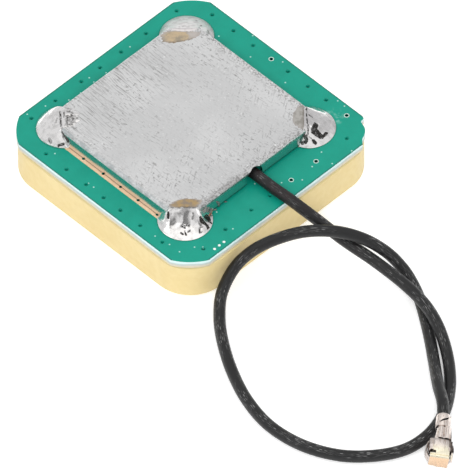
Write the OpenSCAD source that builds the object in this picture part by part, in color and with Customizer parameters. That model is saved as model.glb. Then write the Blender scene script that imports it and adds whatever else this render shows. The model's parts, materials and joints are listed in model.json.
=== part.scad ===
// Active positioning antenna module: a ceramic patch antenna bonded to an amplifier board, a shield can
// soldered over the amplifier, and a thin coaxial lead that ends in a snap-on micro coax plug.
// Sizes are in millimetres. The module stands on its patch face: the origin is the centre of that face,
// +Z points to the shield can and +X to the side where the lead comes out.

/* [Ceramic block] */
// Side of the square ceramic block
block_side = 25; // [23:0.5:28]
// Thickness of the ceramic
block_height = 4; // [2:0.5:6]
// Radius of the upright corners
block_corner = 3.9; // [1:0.1:5]
// Bevel along the pressed edges
block_bevel = 0.2; // [0.05:0.05:0.5]
// Side of the silver patch on the free face
patch_side = 20; // [16:0.5:22]
// Length cut off two opposite corners of the patch
patch_cut = 1.8; // [0.5:0.1:4]
// Thickness of the fired silver on both faces
silver = 0.05; // [0.03:0.01:0.1]
// Bare rim around the ground face
ground_rim = 0.4; // [0.2:0.1:1]

/* [Feed] */
// Distance of the feed pin from the centre of the block
feed_offset = 2.2; // [1:0.1:3]
// Diameter of the feed pin
pin_diameter = 0.8; // [0.5:0.05:1]
// Diameter of the pin's flat head
head_diameter = 1.5; // [1.2:0.1:1.8]
// Thickness of the head
head_thickness = 0.2; // [0.1:0.05:0.3]
// Diameter of the soldered seat around the head
seat_diameter = 2.2; // [2:0.1:3]
// Depth of the seat in the ceramic
seat_depth = 0.35; // [0.35:0.05:0.8]
// Gap around the pin in the ceramic and the board
pin_gap = 0.05; // [0.02:0.01:0.15]
// Diameter of the clear ring around the pin in the ground face and the bond
clear_diameter = 2.4; // [1.6:0.1:4]
// How far the pin's tip stands over the board
tip_height = 0.5; // [0.3:0.05:0.8]
// Foot radius of the solder cone at the tip
cone_radius = 1; // [0.8:0.1:1.2]

/* [Board] */
// How far the board stands out over the block on each side
board_overhang = 0; // [-0.5:0.1:0.5]
// Thickness of the board
board_thickness = 0.8; // [0.4:0.1:1.6]
// Length cut off each board corner
board_cut = 2.5; // [1:0.1:4]
// Radius of the bowed corner cut
board_bow = 6; // [4:0.5:10]
// Thickness of the adhesive film under the board
bond_thickness = 0.1; // [0.05:0.05:0.5]
// How far the film stays inside the block's outline
bond_inset = 0.5; // [0.2:0.1:2]
// Thickness of the plated copper on the board
copper = 0.04; // [0.02:0.01:0.1]
// Diameter of the plated through holes
via_diameter = 0.3; // [0.2:0.05:0.4]
// Distance of the hole rows from the board's edge
via_edge = 1; // [0.6:0.1:1.4]

/* [Soldering lands] */
// Offset of the can's lands from the board centre, along X
land_x = -0.55; // [-0.8:0.05:0.8]
// Offset of the can's lands from the board centre, along Y
land_y = -0.1; // [-0.6:0.05:0.6]
// Distance of a corner land's middle from the board's edges
land_inset = 4.5; // [4.2:0.1:4.8]
// Radius of a corner land
land_radius = 2.55; // [2.2:0.05:2.8]
// Width of the bare strip under a can wall
strip_width = 1.2; // [1:0.1:1.4]
// How far a strip's outer edge lies outside the corner lands' middles
strip_out = 1.75; // [1.5:0.05:2]
// How much narrower the strip under the back wall is
back_strip_cut = 0.3; // [0:0.05:0.4]
// Rim of the corner land that the solder leaves bare
solder_rim = 0.05; // [0:0.05:0.3]
// Height of the corner solder over its land
solder_height = 1.55; // [1.3:0.05:1.6]

/* [Shield can] */
// Board left free beside the can on each side
can_inset = 3.45; // [3.2:0.05:3.8]
// Height of the can
can_height = 1.7; // [1.65:0.05:3]
// Thickness of the tinplate
sheet = 0.2; // [0.1:0.05:0.25]
// Outer radius of the folds
fold_radius = 0.4; // [0.3:0.05:0.6]
// Length of wall missing at each corner
corner_gap = 2.1; // [1.5:0.1:2.5]
// How far the can sits off the middle of the lands, along X
can_shift_x = 0.05; // [-0.3:0.05:0.3]
// How far the can sits off the middle of the lands, along Y
can_shift_y = -0.35; // [-0.4:0.05:0.4]
// How far the lead-side wall stops above the others
lead_wall_lift = 0.3; // [0:0.05:0.5]
// Width of the arched notch for the lead
notch_width = 1.6; // [1.3:0.1:2]

/* [Amplifier] */
// Side of the square band filter
filter_side = 3; // [2:0.1:3.2]
// Height of the filter's ceramic body
filter_height = 0.7; // [0.5:0.05:1]
// Height of the filter's metal lid
filter_lid = 0.25; // [0.1:0.05:0.3]
// Rim of the filter body around its lid
filter_rim = 0.15; // [0.05:0.05:0.3]
// Length of an amplifier's moulded body
amp_length = 2; // [1.6:0.1:2.2]
// Width of an amplifier's moulded body
amp_width = 1.25; // [1:0.05:1.4]
// Height of an amplifier
amp_height = 0.9; // [0.7:0.05:1.1]
// Length of a chip capacitor, inductor or resistor
chip_length = 1; // [0.8:0.05:1.1]
// Width of a chip part
chip_width = 0.5; // [0.4:0.05:0.6]
// Height of a chip capacitor
capacitor_height = 0.5; // [0.3:0.05:0.8]
// Height of a chip resistor
resistor_height = 0.35; // [0.25:0.05:0.5]
// Height of a chip inductor
inductor_height = 0.55; // [0.45:0.05:0.8]
// Length of each plated end of a chip part
end_length = 0.22; // [0.1:0.02:0.3]

/* [Coaxial lead] */
// Diameter of the black jacket
jacket_diameter = 1.13; // [1:0.01:1.2]
// Diameter over the braid
braid_diameter = 0.9; // [0.8:0.01:0.95]
// Diameter over the dielectric
dielectric_diameter = 0.68; // [0.5:0.01:0.75]
// Diameter of the inner conductor
core_diameter = 0.24; // [0.15:0.01:0.3]
// Height of the lead's axis over the board at the can
lead_height = 0.65; // [0.65:0.05:0.75]
// Length of jacket inside the can
jacket_inside = 1.35; // [0.8:0.05:1.8]
// Length of braid bared at the board
braid_bare = 1.4; // [1:0.1:1.6]
// Length of dielectric bared at each end
dielectric_bare = 0.7; // [0.3:0.1:0.9]
// Length of inner conductor bared at each end
core_bare = 0.6; // [0.4:0.1:0.7]
// Solder beside the braid
braid_fillet = 0.3; // [0.2:0.05:0.5]
// Radius of the solder dome on the inner conductor
core_dome = 0.55; // [0.4:0.05:0.7]

/* [Plug] */
// Outer diameter of the plug's ring
ring_diameter = 2.6; // [2.4:0.1:3]
// Height of the ring
ring_height = 0.95; // [0.7:0.05:0.95]
// Thickness of the plug's sheet bronze
plug_sheet = 0.15; // [0.1:0.01:0.18]
// Length of the crimp on the jacket
jacket_crimp = 1.25; // [0.8:0.05:1.4]
// Length of the crimp on the braid
braid_crimp = 1.2; // [0.8:0.05:1.3]
// Width of the crimp on the braid
braid_crimp_width = 1.6; // [1.4:0.1:1.8]
// Slots between the crimps and the flap
crimp_slot = 0.12; // [0.08:0.01:0.2]
// Width of the flap over the ring
flap_width = 1.8; // [1.7:0.05:2.2]
// Height of the flap's top over the lead's axis
flap_height = 0.75; // [0.72:0.01:0.9]
// Outer radius of the bend at the front of the flap
flap_bend = 0.35; // [0.25:0.05:0.5]
// Outer diameter of the inner contact
contact_diameter = 0.6; // [0.5:0.05:0.8]
// Bore of the inner contact
contact_bore = 0.36; // [0.3:0.02:0.4]
// Gap around the insulator in the ring
insulator_gap = 0.03; // [0.02:0.01:0.1]

/* [Hidden] */
$fn = 48;

// Overcut, so that a cutter reaches past the faces it opens
over = 0.5;

// Levels of the stack, from the patch face up
block_z = silver;
ground_z = block_z + block_height;
bond_z = ground_z + silver;
board_z = bond_z + bond_thickness;
top_z = board_z + board_thickness;
land_z = top_z + copper;
lid_z = land_z + can_height;

// Feed pin and its seat
feed_at = [-feed_offset, 0];
seat_height = silver + seat_depth;
pin_hole = pin_diameter + 2 * pin_gap;
cone_cap = 0.1;

// Board and the lands on it, from the block
board_side = block_side + 2 * board_overhang;
land_pitch = board_side - 2 * land_inset;
strip_reach = land_pitch / 2 + strip_out;

// Rows of plated holes near the board's edges, with the one beside the front corner further out
row = board_side / 2 - via_edge;
side_row_y = [9.5, 5.5, 2.25, -0.5, -2.95, -6.3, -9.4];
front_row_x = [-7.4, -4.7, -2.1, 0.2, 2.4, 5, 7.9];
back_row_x = [-8.8, -6, -3.4, -1, 1.2, 3.8, 6.2, 8.9];
strip_row_x = [-4.5, -1.9, 0.4, 2.7, 5.2];
lead_row_inset = 0.6;
front_via_out = 0.25;
strip_via_in = 0.35;
edge_vias = concat(
    [for (y = side_row_y) [-row, y]],
    [for (i = [0 : len(side_row_y) - 1])
        [row - lead_row_inset + (i == len(side_row_y) - 1 ? front_via_out : 0), side_row_y[i]]],
    [for (x = front_row_x) [x, -row]],
    [for (x = back_row_x) [x, row]]
);
strip_vias = [for (x = strip_row_x) [x, land_y - strip_reach + strip_via_in]];

// Shield can
can_side = board_side - 2 * can_inset;
can_x = land_x + can_shift_x;
can_y = land_y + can_shift_y;
lid_half = can_side / 2 - fold_radius;
wall_half = can_side / 2 - corner_gap;
notch_rise = 0.25;
notch_in = 0.22;

// Lead inside the can, measured from the outer face of the lead-side wall
lead_z = top_z + lead_height;
wall_x = can_x + can_side / 2;
tail_start = wall_x - jacket_inside;
braid_end = tail_start - braid_bare;
dielectric_end = braid_end - dielectric_bare;
core_end = dielectric_end - core_bare;
dome_top = 0.2;

// Places of the amplifier's parts, from the middle of the can
filter_at = [0.9, 4];
first_amp_at = [-2.6, 3.6];
second_amp_at = [4.6, 3.6];
capacitors_at = [[-5, 2.6], [-5, 4.6], [0.9, 6.6], [6.8, 2.8], [2.6, -2.4], [-1.4, -3]];
inductors_at = [[-4.2, 1], [6.8, 4.6], [4.6, -2.4]];
resistors_at = [[-2.6, 5.8], [4.6, 5.8], [0.6, -2.4]];

// Details of the amplifier's moulded bodies
lead_width = 0.3;
lead_sheet = 0.12;
lead_foot = 0.3;
lead_pitch = 1.3;
mould_draft = 0.1;
stand_off = 0.05;
end_step = 0.02;
bobbin_share = 0.7;

// Route of the free lead from the can to the plug, as it lies
route = [
    [9, 0, 5.65], [11, 0, 5.65], [12.8, 0.1, 5.62], [14.3, 0.4, 5.15], [15.8, 0.9, 4.35], [18.4, 1.55, 3.25],
    [21.8, 2.15, 2.6], [25.2, 2.45, 2.05], [28, 2.25, 1.8], [30.2, 1.65, 1.55], [32.2, 0.75, 1],
    [34.4, -0.75, 0.62], [36.5, -2.8, 0.57], [38.1, -5.2, 0.57], [38.9, -7.9, 0.57], [38.7, -10.6, 0.57],
    [37.3, -13.15, 0.57], [34.9, -15.5, 0.57], [31.6, -17.05, 0.57], [27.9, -17.5, 0.57], [24.3, -16.8, 0.57],
    [20.9, -15.35, 0.57], [17.9, -13.55, 0.57], [15.6, -11.75, 0.72], [13.9, -9.75, 1.35], [13.3, -7.4, 2.6],
    [13.7, -5.4, 3.65], [14.75, -3.3, 4.4], [16.2, -1.1, 4.78], [18.2, 0.95, 4.7], [20.2, 2.55, 3.95],
    [22.1, 3.6, 2.75], [23.8, 3.95, 1.6], [25.5, 3.65, 0.8], [27.4, 2.7, 0.57], [30.4, 0.65, 0.57],
    [33.2, -1.5, 0.75], [36, -3.8, 1.65], [38, -5.25, 2.15], [39.1, -6.3, 1.95]
];
lead_sides = 8;
last = len(route) - 1;
tail_out = route[0][0];

// Where the plug lies: turned towards the front, nose down on the floor and a little rolled
plug_at = route[last];
plug_yaw = -50;
plug_pitch = 11;
plug_roll = -8;
plug_way = [cos(plug_yaw) * cos(plug_pitch), sin(plug_yaw) * cos(plug_pitch), -sin(plug_pitch)];

// Plug, measured along its own axis from the rear of the jacket crimp
braid_crimp_x = jacket_crimp + crimp_slot;
flap_x = braid_crimp_x + braid_crimp + crimp_slot;
ring_radius = ring_diameter / 2;
ring_bore = ring_radius - plug_sheet;
ring_lap = 0.5;
ring_x = flap_x + ring_radius - ring_lap;
ring_top = -0.05;
ring_foot = ring_top - ring_height;
flap_out = 0.02;
flap_end = ring_x + ring_radius + flap_out;
flap_under = flap_height - plug_sheet;
bend_x = flap_end - flap_bend;
bend_z = flap_height - flap_bend;
crimp_corner = 0.5;
seam = 0.1;
spine_width = 0.7;
tongue = 0.4;
ear_length = 1;
ear_drop = 0.3;
front_foot = ring_foot + 0.1;
slit_x = ring_x + 0.5;
slit_width = 0.22;
slit_depth = 0.5;
mouth_width = 0.9;
insulator_depth = 0.25;
contact_drop = 0.15;
stem_foot = ring_foot + contact_drop;
stem_top = 0.3;
snap_groove = 0.05;

function unit(v) = v / norm(v);
// Direction of the lead at one of its points
function way(i) = i == 0 ? unit(route[1] - route[0])
    : i == last ? plug_way
    : unit(route[i + 1] - route[i - 1]);
// Level direction across the lead at one of its points
function across(i) = unit(cross(way(i), [0, 0, 1]));
// Ring of points around the lead at one of its points
function ring(i) = [for (k = [0 : lead_sides - 1]) let (a = 360 * (k + 0.5) / lead_sides)
    route[i] + jacket_diameter / 2 * (cos(a) * across(i) + sin(a) * cross(across(i), way(i)))];

// Square with round corners
module round_square(side, radius) {
    square([side, side - 2 * radius], center = true);
    square([side - 2 * radius, side], center = true);
    for (x = [-1, 1], y = [-1, 1])
        translate([x, y] * (side / 2 - radius))
            circle(radius);
}

// Round hole or disc at a place, standing on a level
module disc(at, z, diameter, height) {
    translate([at[0], at[1], z])
        cylinder(d = diameter, h = height);
}

// Round rod along X
module rod(x, length, diameter) {
    translate([x, 0, 0])
        rotate([0, 90, 0])
            cylinder(d = diameter, h = length);
}

// Lead's axis inside the can
module at_lead() {
    translate([0, 0, lead_z])
        children();
}

// Plug's own axes where it lies
module at_plug() {
    translate(plug_at)
        rotate([plug_roll, plug_pitch, plug_yaw])
            children();
}

// Upright section of the block between two faces, with its bevels
module block_section(half) {
    polygon([
        [0, 0], [half - block_bevel, 0], [half, block_bevel], [half, block_height - block_bevel],
        [half - block_bevel, block_height], [0, block_height]
    ]);
}

module block_bar() {
    rotate([90, 0, 0])
        linear_extrude(block_side - 2 * block_corner, center = true)
            union() {
                block_section(block_side / 2);
                mirror([1, 0])
                    block_section(block_side / 2);
            }
}

module ceramic_block() {
    color([0.98, 0.9, 0.66])
        difference() {
            translate([0, 0, block_z]) {
                block_bar();
                rotate([0, 0, 90])
                    block_bar();
                for (x = [-1, 1], y = [-1, 1])
                    translate([x, y, 0] * (block_side / 2 - block_corner))
                        rotate_extrude()
                            block_section(block_corner);
            }
            disc(feed_at, -over, pin_hole, ground_z + 2 * over);
            disc(feed_at, -over, seat_diameter, over + seat_height);
        }
}

// Square patch with two opposite corners cut off
module patch_electrode() {
    half = patch_side / 2;
    color([0.86, 0.86, 0.84])
        difference() {
            linear_extrude(silver)
                polygon([
                    [-half, -half], [half - patch_cut, -half], [half, patch_cut - half], [half, half],
                    [patch_cut - half, half], [-half, half - patch_cut]
                ]);
            disc(feed_at, -over, seat_diameter, silver + 2 * over);
        }
}

module ground_electrode() {
    color([0.86, 0.86, 0.84])
        difference() {
            translate([0, 0, ground_z])
                linear_extrude(silver)
                    round_square(block_side - 2 * ground_rim, block_corner - ground_rim);
            disc(feed_at, ground_z - over, clear_diameter, silver + 2 * over);
        }
}

// Headed pin from the patch to the board
module feed_pin() {
    color([0.85, 0.78, 0.6]) {
        disc(feed_at, 0, pin_diameter, top_z + tip_height);
        disc(feed_at, 0, head_diameter, head_thickness);
    }
}

// Solder around the pin's head, flush with the patch
module patch_joint() {
    color([0.8, 0.81, 0.82])
        difference() {
            disc(feed_at, 0, seat_diameter, seat_height);
            disc(feed_at, -over, head_diameter, over + head_thickness);
            disc(feed_at, -over, pin_diameter, seat_height + 2 * over);
        }
}

// Solder cone over the pin's tip
module feed_joint() {
    cone_height = tip_height + cone_cap;
    color([0.8, 0.81, 0.82])
        difference() {
            translate([feed_at[0], feed_at[1], top_z])
                rotate_extrude()
                    polygon([
                        [0, 0], [cone_radius, 0], [pin_diameter / 2 + cone_cap, tip_height], [0, cone_height]
                    ]);
            disc(feed_at, 0, pin_diameter, top_z + tip_height);
        }
}

module adhesive_film() {
    color([0.75, 0.72, 0.68])
        difference() {
            translate([0, 0, bond_z])
                linear_extrude(bond_thickness)
                    round_square(block_side - 2 * bond_inset, block_corner - bond_inset);
            disc(feed_at, bond_z - over, clear_diameter, bond_thickness + 2 * over);
        }
}

// Board outline: a square whose corners are cut along shallow bows
module board_outline() {
    half = board_side / 2;
    bow_at = half - board_cut / 2 - sqrt((pow(board_bow, 2) - pow(board_cut, 2) / 2) / 2);
    difference() {
        square(board_side, center = true);
        for (turn = [0 : 3])
            rotate(90 * turn)
                translate([bow_at, bow_at])
                    difference() {
                        square(half - bow_at + over);
                        circle(board_bow);
                    }
    }
}

module circuit_board() {
    color([0.12, 0.62, 0.52])
        difference() {
            translate([0, 0, board_z])
                linear_extrude(board_thickness)
                    board_outline();
            disc(feed_at, board_z - over, pin_hole, board_thickness + 2 * over);
            for (at = concat(edge_vias, strip_vias))
                disc(at, board_z - over, via_diameter, board_thickness + 2 * over);
        }
}

// Middle of a corner land, by the signs of its corner
function land_at(sx, sy) = [land_x + sx * land_pitch / 2, land_y + sy * land_pitch / 2];

// Plated corner lands, joined by strips under three of the can's walls
module ground_lands() {
    strip_in = strip_reach - strip_width;
    color([0.95, 0.78, 0.6])
        difference() {
            union() {
                for (sx = [-1, 1], sy = [-1, 1])
                    disc(land_at(sx, sy), top_z, 2 * land_radius, copper);
                translate([land_x, land_y, top_z]) {
                    translate([-land_pitch / 2, -strip_reach, 0])
                        cube([land_pitch, strip_width, copper]);
                    translate([-land_pitch / 2, strip_in, 0])
                        cube([land_pitch, strip_width - back_strip_cut, copper]);
                    translate([-strip_reach, -land_pitch / 2, 0])
                        cube([strip_width, land_pitch, copper]);
                }
            }
            for (at = strip_vias)
                disc(at, top_z - over, via_diameter, copper + 2 * over);
        }
}

// Ground plan of the can: its lid inside the folds, and the four folds
module lid_outline() {
    polygon([
        for (turn = [0 : 3], end = [-1, 1])
            let (c = [1, 0, -1, 0][turn], s = [0, 1, 0, -1][turn], across = end * wall_half)
                [c * lid_half - s * across, s * lid_half + c * across]
    ]);
}

module can_outline() {
    lid_outline();
    for (turn = [0 : 3])
        rotate(90 * turn)
            translate([lid_half, -wall_half])
                square([fold_radius, 2 * wall_half]);
}

// Solder that climbs from a corner land to the can's lid
module corner_solder(sx, sy) {
    foot = land_radius - solder_rim;
    color([0.8, 0.81, 0.82])
        difference() {
            translate([land_at(sx, sy)[0], land_at(sx, sy)[1], land_z])
                rotate_extrude()
                    difference() {
                        square([foot, solder_height]);
                        translate([foot, solder_height])
                            circle(solder_height);
                    }
            translate([can_x, can_y, top_z])
                linear_extrude(lid_z)
                    can_outline();
        }
}

module corner_solder_left() {
    corner_solder(-1, -1);
}

module corner_solder_back() {
    corner_solder(-1, 1);
}

module corner_solder_right() {
    corner_solder(1, 1);
}

module corner_solder_front() {
    corner_solder(1, -1);
}

// Section of a can wall and its fold, from the wall's outer face inwards
module wall_section(lift) {
    fold_z = can_height - fold_radius;
    translate([-sheet, lift])
        square([sheet, fold_z - lift]);
    translate([-fold_radius, fold_z])
        intersection() {
            difference() {
                circle(fold_radius);
                circle(fold_radius - sheet);
            }
            square(fold_radius);
        }
}

// Folded can: lid, four walls and the arched notch for the lead
module shield_can() {
    color([0.8, 0.8, 0.8])
        difference() {
            translate([can_x, can_y, land_z]) {
                translate([0, 0, can_height - sheet])
                    linear_extrude(sheet)
                        lid_outline();
                for (turn = [0 : 3])
                    rotate([0, 0, 90 * turn])
                        translate([can_side / 2, 0, 0])
                            rotate([90, 0, 0])
                                linear_extrude(2 * wall_half, center = true)
                                    wall_section(turn == 0 ? lead_wall_lift : 0);
            }
            translate([wall_x - notch_in, 0, lead_z + notch_rise]) {
                rod(0, notch_in + over, notch_width);
                translate([0, -notch_width / 2, -can_height])
                    cube([notch_in + over, notch_width, can_height]);
            }
        }
}

// Puts a part on the board at a place from the middle of the can
module on_board(at) {
    translate([can_x + at[0], can_y + at[1], top_z])
        children();
}

// Band filter: a ceramic body with a metal lid
module band_filter() {
    lid_side = filter_side - 2 * filter_rim;
    color([0.85, 0.8, 0.7])
        on_board(filter_at) {
            translate([-filter_side / 2, -filter_side / 2, 0])
                cube([filter_side, filter_side, filter_height]);
            translate([-lid_side / 2, -lid_side / 2, filter_height])
                cube([lid_side, lid_side, filter_lid]);
        }
}

// Moulded amplifier with four bent leads
module amplifier(at) {
    half = amp_width / 2;
    knee = half + lead_foot / 2;
    lead_top = stand_off + amp_height / 2;
    lead_under = lead_top - lead_sheet;
    inner_knee = knee - lead_sheet;
    on_board(at) {
        rotate([90, 0, 90])
            linear_extrude(amp_length, center = true)
                polygon([
                    [mould_draft - half, stand_off], [half - mould_draft, stand_off], [half, lead_top],
                    [half - mould_draft, amp_height], [mould_draft - half, amp_height], [-half, lead_top]
                ]);
        for (x = [-1, 1], turn = [0, 180])
            translate([x * lead_pitch / 2, 0, 0])
                rotate([90, 0, 90 + turn])
                    linear_extrude(lead_width, center = true)
                        polygon([
                            [half - mould_draft, lead_under], [inner_knee, lead_under], [inner_knee, 0],
                            [knee + lead_foot, 0], [knee + lead_foot, lead_sheet], [knee, lead_sheet],
                            [knee, lead_top], [half - mould_draft, lead_top]
                        ]);
    }
}

module first_amplifier() {
    color([0.15, 0.15, 0.16])
        amplifier(first_amp_at);
}

module second_amplifier() {
    color([0.15, 0.15, 0.16])
        amplifier(second_amp_at);
}

// Chip part lying along Y: a body between two plated ends
module chip(at, height, body_share) {
    body_width = chip_width * body_share;
    body_height = height * body_share - end_step;
    on_board(at) {
        translate([-body_width / 2, end_length / 2 - chip_length / 2, end_step])
            cube([body_width, chip_length - end_length, body_height]);
        for (y = [-chip_length / 2, chip_length / 2 - end_length])
            translate([-chip_width / 2, y, 0])
                cube([chip_width, end_length, height]);
    }
}

module chip_capacitors() {
    color([0.72, 0.6, 0.45])
        for (at = capacitors_at)
            chip(at, capacitor_height, 1 - 2 * end_step);
}

module chip_inductors() {
    color([0.6, 0.42, 0.25])
        for (at = inductors_at)
            chip(at, inductor_height, bobbin_share);
}

module chip_resistors() {
    color([0.16, 0.16, 0.17])
        for (at = resistors_at)
            chip(at, resistor_height, 1 - 2 * end_step);
}

// Jacket of the lead's near end, from inside the can to where the lead hangs free
module tail_jacket() {
    color([0.15, 0.15, 0.15])
        at_lead()
            rod(tail_start, tail_out - tail_start, jacket_diameter);
}

module tail_braid() {
    color([0.75, 0.68, 0.6])
        at_lead()
            difference() {
                rod(braid_end, braid_bare, braid_diameter);
                rod(braid_end - over, braid_bare + 2 * over, dielectric_diameter);
            }
}

module tail_dielectric() {
    color([0.93, 0.93, 0.9])
        at_lead()
            difference() {
                rod(dielectric_end, tail_start - dielectric_end, dielectric_diameter);
                rod(core_end, tail_start - core_end + over, core_diameter);
            }
}

module tail_core() {
    color([0.85, 0.8, 0.72])
        at_lead()
            rod(core_end, tail_start - core_end, core_diameter);
}

// Solder trough that holds the braid to the board
module braid_joint() {
    width = braid_diameter + 2 * braid_fillet;
    color([0.8, 0.81, 0.82])
        at_lead()
            difference() {
                translate([braid_end, -width / 2, -lead_height])
                    cube([braid_bare, width, lead_height]);
                rod(braid_end - over, braid_bare + 2 * over, braid_diameter);
                for (y = [-1, 1])
                    translate([0, y * width / 2, 0])
                        rod(braid_end - over, braid_bare + 2 * over, 2 * braid_fillet);
            }
}

// Solder dome that holds the inner conductor to the board
module core_joint() {
    dome_height = lead_height + core_diameter;
    color([0.8, 0.81, 0.82])
        at_lead()
            difference() {
                translate([core_end + dome_top, 0, -lead_height])
                    rotate_extrude()
                        polygon([[0, 0], [core_dome, 0], [dome_top, lead_height], [0, dome_height]]);
                rod(core_end, core_bare + over, core_diameter);
                rod(dielectric_end, dielectric_bare, dielectric_diameter);
            }
}

// Free lead from the can to the plug
module coax_lead() {
    points = [for (i = [0 : last]) each ring(i)];
    sides = [for (i = [0 : last - 1], k = [0 : lead_sides - 1])
        let (a = i * lead_sides + k, b = i * lead_sides + (k + 1) % lead_sides)
            [a, a + lead_sides, b + lead_sides, b]];
    first_cap = [for (k = [0 : lead_sides - 1]) k];
    last_cap = [for (k = [lead_sides - 1 : -1 : 0]) last * lead_sides + k];
    color([0.15, 0.15, 0.15])
        polyhedron(points, concat(sides, [first_cap, last_cap]));
}

// End of the lead's jacket in the plug's rear crimp
module tip_jacket() {
    color([0.15, 0.15, 0.15])
        at_plug()
            rod(0, braid_crimp_x, jacket_diameter);
}

module tip_braid() {
    color([0.75, 0.68, 0.6])
        at_plug()
            difference() {
                rod(braid_crimp_x, braid_crimp, braid_diameter);
                rod(braid_crimp_x - over, braid_crimp + 2 * over, dielectric_diameter);
            }
}

module tip_dielectric() {
    length = flap_x - braid_crimp_x;
    color([0.93, 0.93, 0.9])
        at_plug()
            difference() {
                rod(braid_crimp_x, length, dielectric_diameter);
                rod(braid_crimp_x - over, length + 2 * over, core_diameter);
            }
}

module tip_core() {
    color([0.85, 0.8, 0.72])
        at_plug()
            rod(braid_crimp_x, flap_x - braid_crimp_x + core_bare, core_diameter);
}

// Rear crimp, closed round the jacket up to a seam underneath
module jacket_crimp_tube() {
    difference() {
        rod(0, jacket_crimp, jacket_diameter + 2 * plug_sheet);
        rod(-over, jacket_crimp + 2 * over, jacket_diameter);
        translate([-over, -seam / 2, -jacket_diameter])
            cube([jacket_crimp + 2 * over, seam, jacket_diameter]);
    }
}

// Flattened crimp on the braid
module braid_crimp_block() {
    half_height = braid_diameter / 2 + plug_sheet;
    corner_y = braid_crimp_width / 2 - crimp_corner;
    corner_z = half_height - crimp_corner;
    difference() {
        translate([braid_crimp_x, 0, 0])
            rotate([90, 0, 90])
                linear_extrude(braid_crimp)
                    union() {
                        square([braid_crimp_width, 2 * corner_z], center = true);
                        square([2 * corner_y, 2 * half_height], center = true);
                        for (y = [-1, 1], z = [-1, 1])
                            translate([y * corner_y, z * corner_z])
                                circle(crimp_corner);
                    }
        rod(braid_crimp_x - over, braid_crimp + 2 * over, braid_diameter);
    }
}

// Spine along the top that joins the crimps, and its tongue to the flap
module plug_spine() {
    spine_z = jacket_diameter / 2;
    translate([jacket_crimp / 2, -spine_width / 2, spine_z])
        cube([flap_x - jacket_crimp / 2, spine_width, flap_height - spine_z]);
    translate([braid_crimp_x, -spine_width / 2, flap_under])
        cube([flap_x - braid_crimp_x + tongue, spine_width, plug_sheet]);
}

// Flap over the ring, slit at one side, with its front folded down over the ring
module plug_flap() {
    difference() {
        rotate([90, 0, 0])
            linear_extrude(flap_width, center = true)
                union() {
                    translate([flap_x, flap_under])
                        square([bend_x - flap_x, plug_sheet]);
                    translate([flap_end - plug_sheet, front_foot])
                        square([plug_sheet, bend_z - front_foot]);
                    translate([bend_x, bend_z])
                        intersection() {
                            difference() {
                                circle(flap_bend);
                                circle(flap_bend - plug_sheet);
                            }
                            square(flap_bend);
                        }
                }
        translate([slit_x, -flap_width / 2 - over, flap_under - over])
            cube([slit_width, slit_depth + over, plug_sheet + 2 * over]);
    }
}

// Ring that snaps over the socket, open at the rear for the lead
module plug_ring() {
    difference() {
        translate([ring_x, 0, ring_foot])
            rotate_extrude()
                difference() {
                    translate([ring_bore, 0])
                        square([plug_sheet, ring_height]);
                    translate([ring_radius + snap_groove, ring_height / 2])
                        circle(2 * snap_groove);
                }
        translate([ring_x - ring_diameter, -mouth_width / 2, ring_top - ring_height / 2])
            cube([ring_diameter, mouth_width, ring_height]);
    }
}

// Ears along the flap's sides, bent down into the ring
module plug_ears() {
    for (y = [-flap_width / 2, flap_width / 2 - plug_sheet])
        translate([ring_x - ring_radius / 2, y, ring_top - ear_drop])
            cube([ear_length, plug_sheet, flap_height - ring_top + ear_drop]);
}

// Plug shell, stamped and folded from one sheet
module plug_shell() {
    color([0.9, 0.76, 0.56])
        at_plug() {
            jacket_crimp_tube();
            braid_crimp_block();
            plug_spine();
            plug_flap();
            plug_ring();
            plug_ears();
        }
}

// Insulator between the flap and the ring
module plug_insulator() {
    radius = ring_bore - insulator_gap;
    width = flap_width - 2 * plug_sheet - 2 * insulator_gap;
    core_slot = core_diameter + 2 * insulator_gap;
    color([0.14, 0.12, 0.1])
        at_plug()
            difference() {
                intersection() {
                    translate([ring_x, 0, ring_top - insulator_depth])
                        cylinder(r = radius, h = flap_under - ring_top + insulator_depth);
                    translate([flap_x, -width / 2, ring_foot])
                        cube([ring_diameter, width, ring_height + flap_height]);
                }
                translate([ring_x, 0, ring_foot])
                    cylinder(d = contact_diameter, h = stem_top - ring_foot);
                translate([bend_x, -width, bend_z])
                    cube([flap_bend, 2 * width, flap_bend]);
                translate([flap_x - over, -core_slot / 2, -core_slot / 2])
                    cube([ring_x - flap_x + over, core_slot, core_slot]);
            }
}

// Inner contact: a bored stem that the lead's core ends on
module plug_contact() {
    color([0.88, 0.72, 0.4])
        at_plug()
            difference() {
                translate([ring_x, 0, stem_foot])
                    cylinder(d = contact_diameter, h = stem_top - stem_foot);
                translate([ring_x, 0, stem_foot - over])
                    cylinder(d = contact_bore, h = ring_top - stem_foot - core_diameter + over);
                rod(flap_x, core_bare, core_diameter);
            }
}

ceramic_block();
patch_electrode();
ground_electrode();
feed_pin();
patch_joint();
feed_joint();
adhesive_film();
circuit_board();
ground_lands();
corner_solder_left();
corner_solder_back();
corner_solder_right();
corner_solder_front();
shield_can();
band_filter();
first_amplifier();
second_amplifier();
chip_capacitors();
chip_inductors();
chip_resistors();
tail_jacket();
tail_braid();
tail_dielectric();
tail_core();
braid_joint();
core_joint();
coax_lead();
tip_jacket();
tip_braid();
tip_dielectric();
tip_core();
plug_shell();
plug_insulator();
plug_contact();
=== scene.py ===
"""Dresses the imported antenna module: lead, plug, board, shield can and solder, in the photograph's view."""

import json
import logging
import math
from collections.abc import Sequence
from dataclasses import dataclass
from enum import Enum
from typing import Any

import bmesh
import bpy
from bpy.types import ID, Material, Mesh, Node, NodeSocket, NodeTree, Object
from mathutils import Matrix, Vector, noise
from mathutils.geometry import delaunay_2d_cdt


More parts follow.
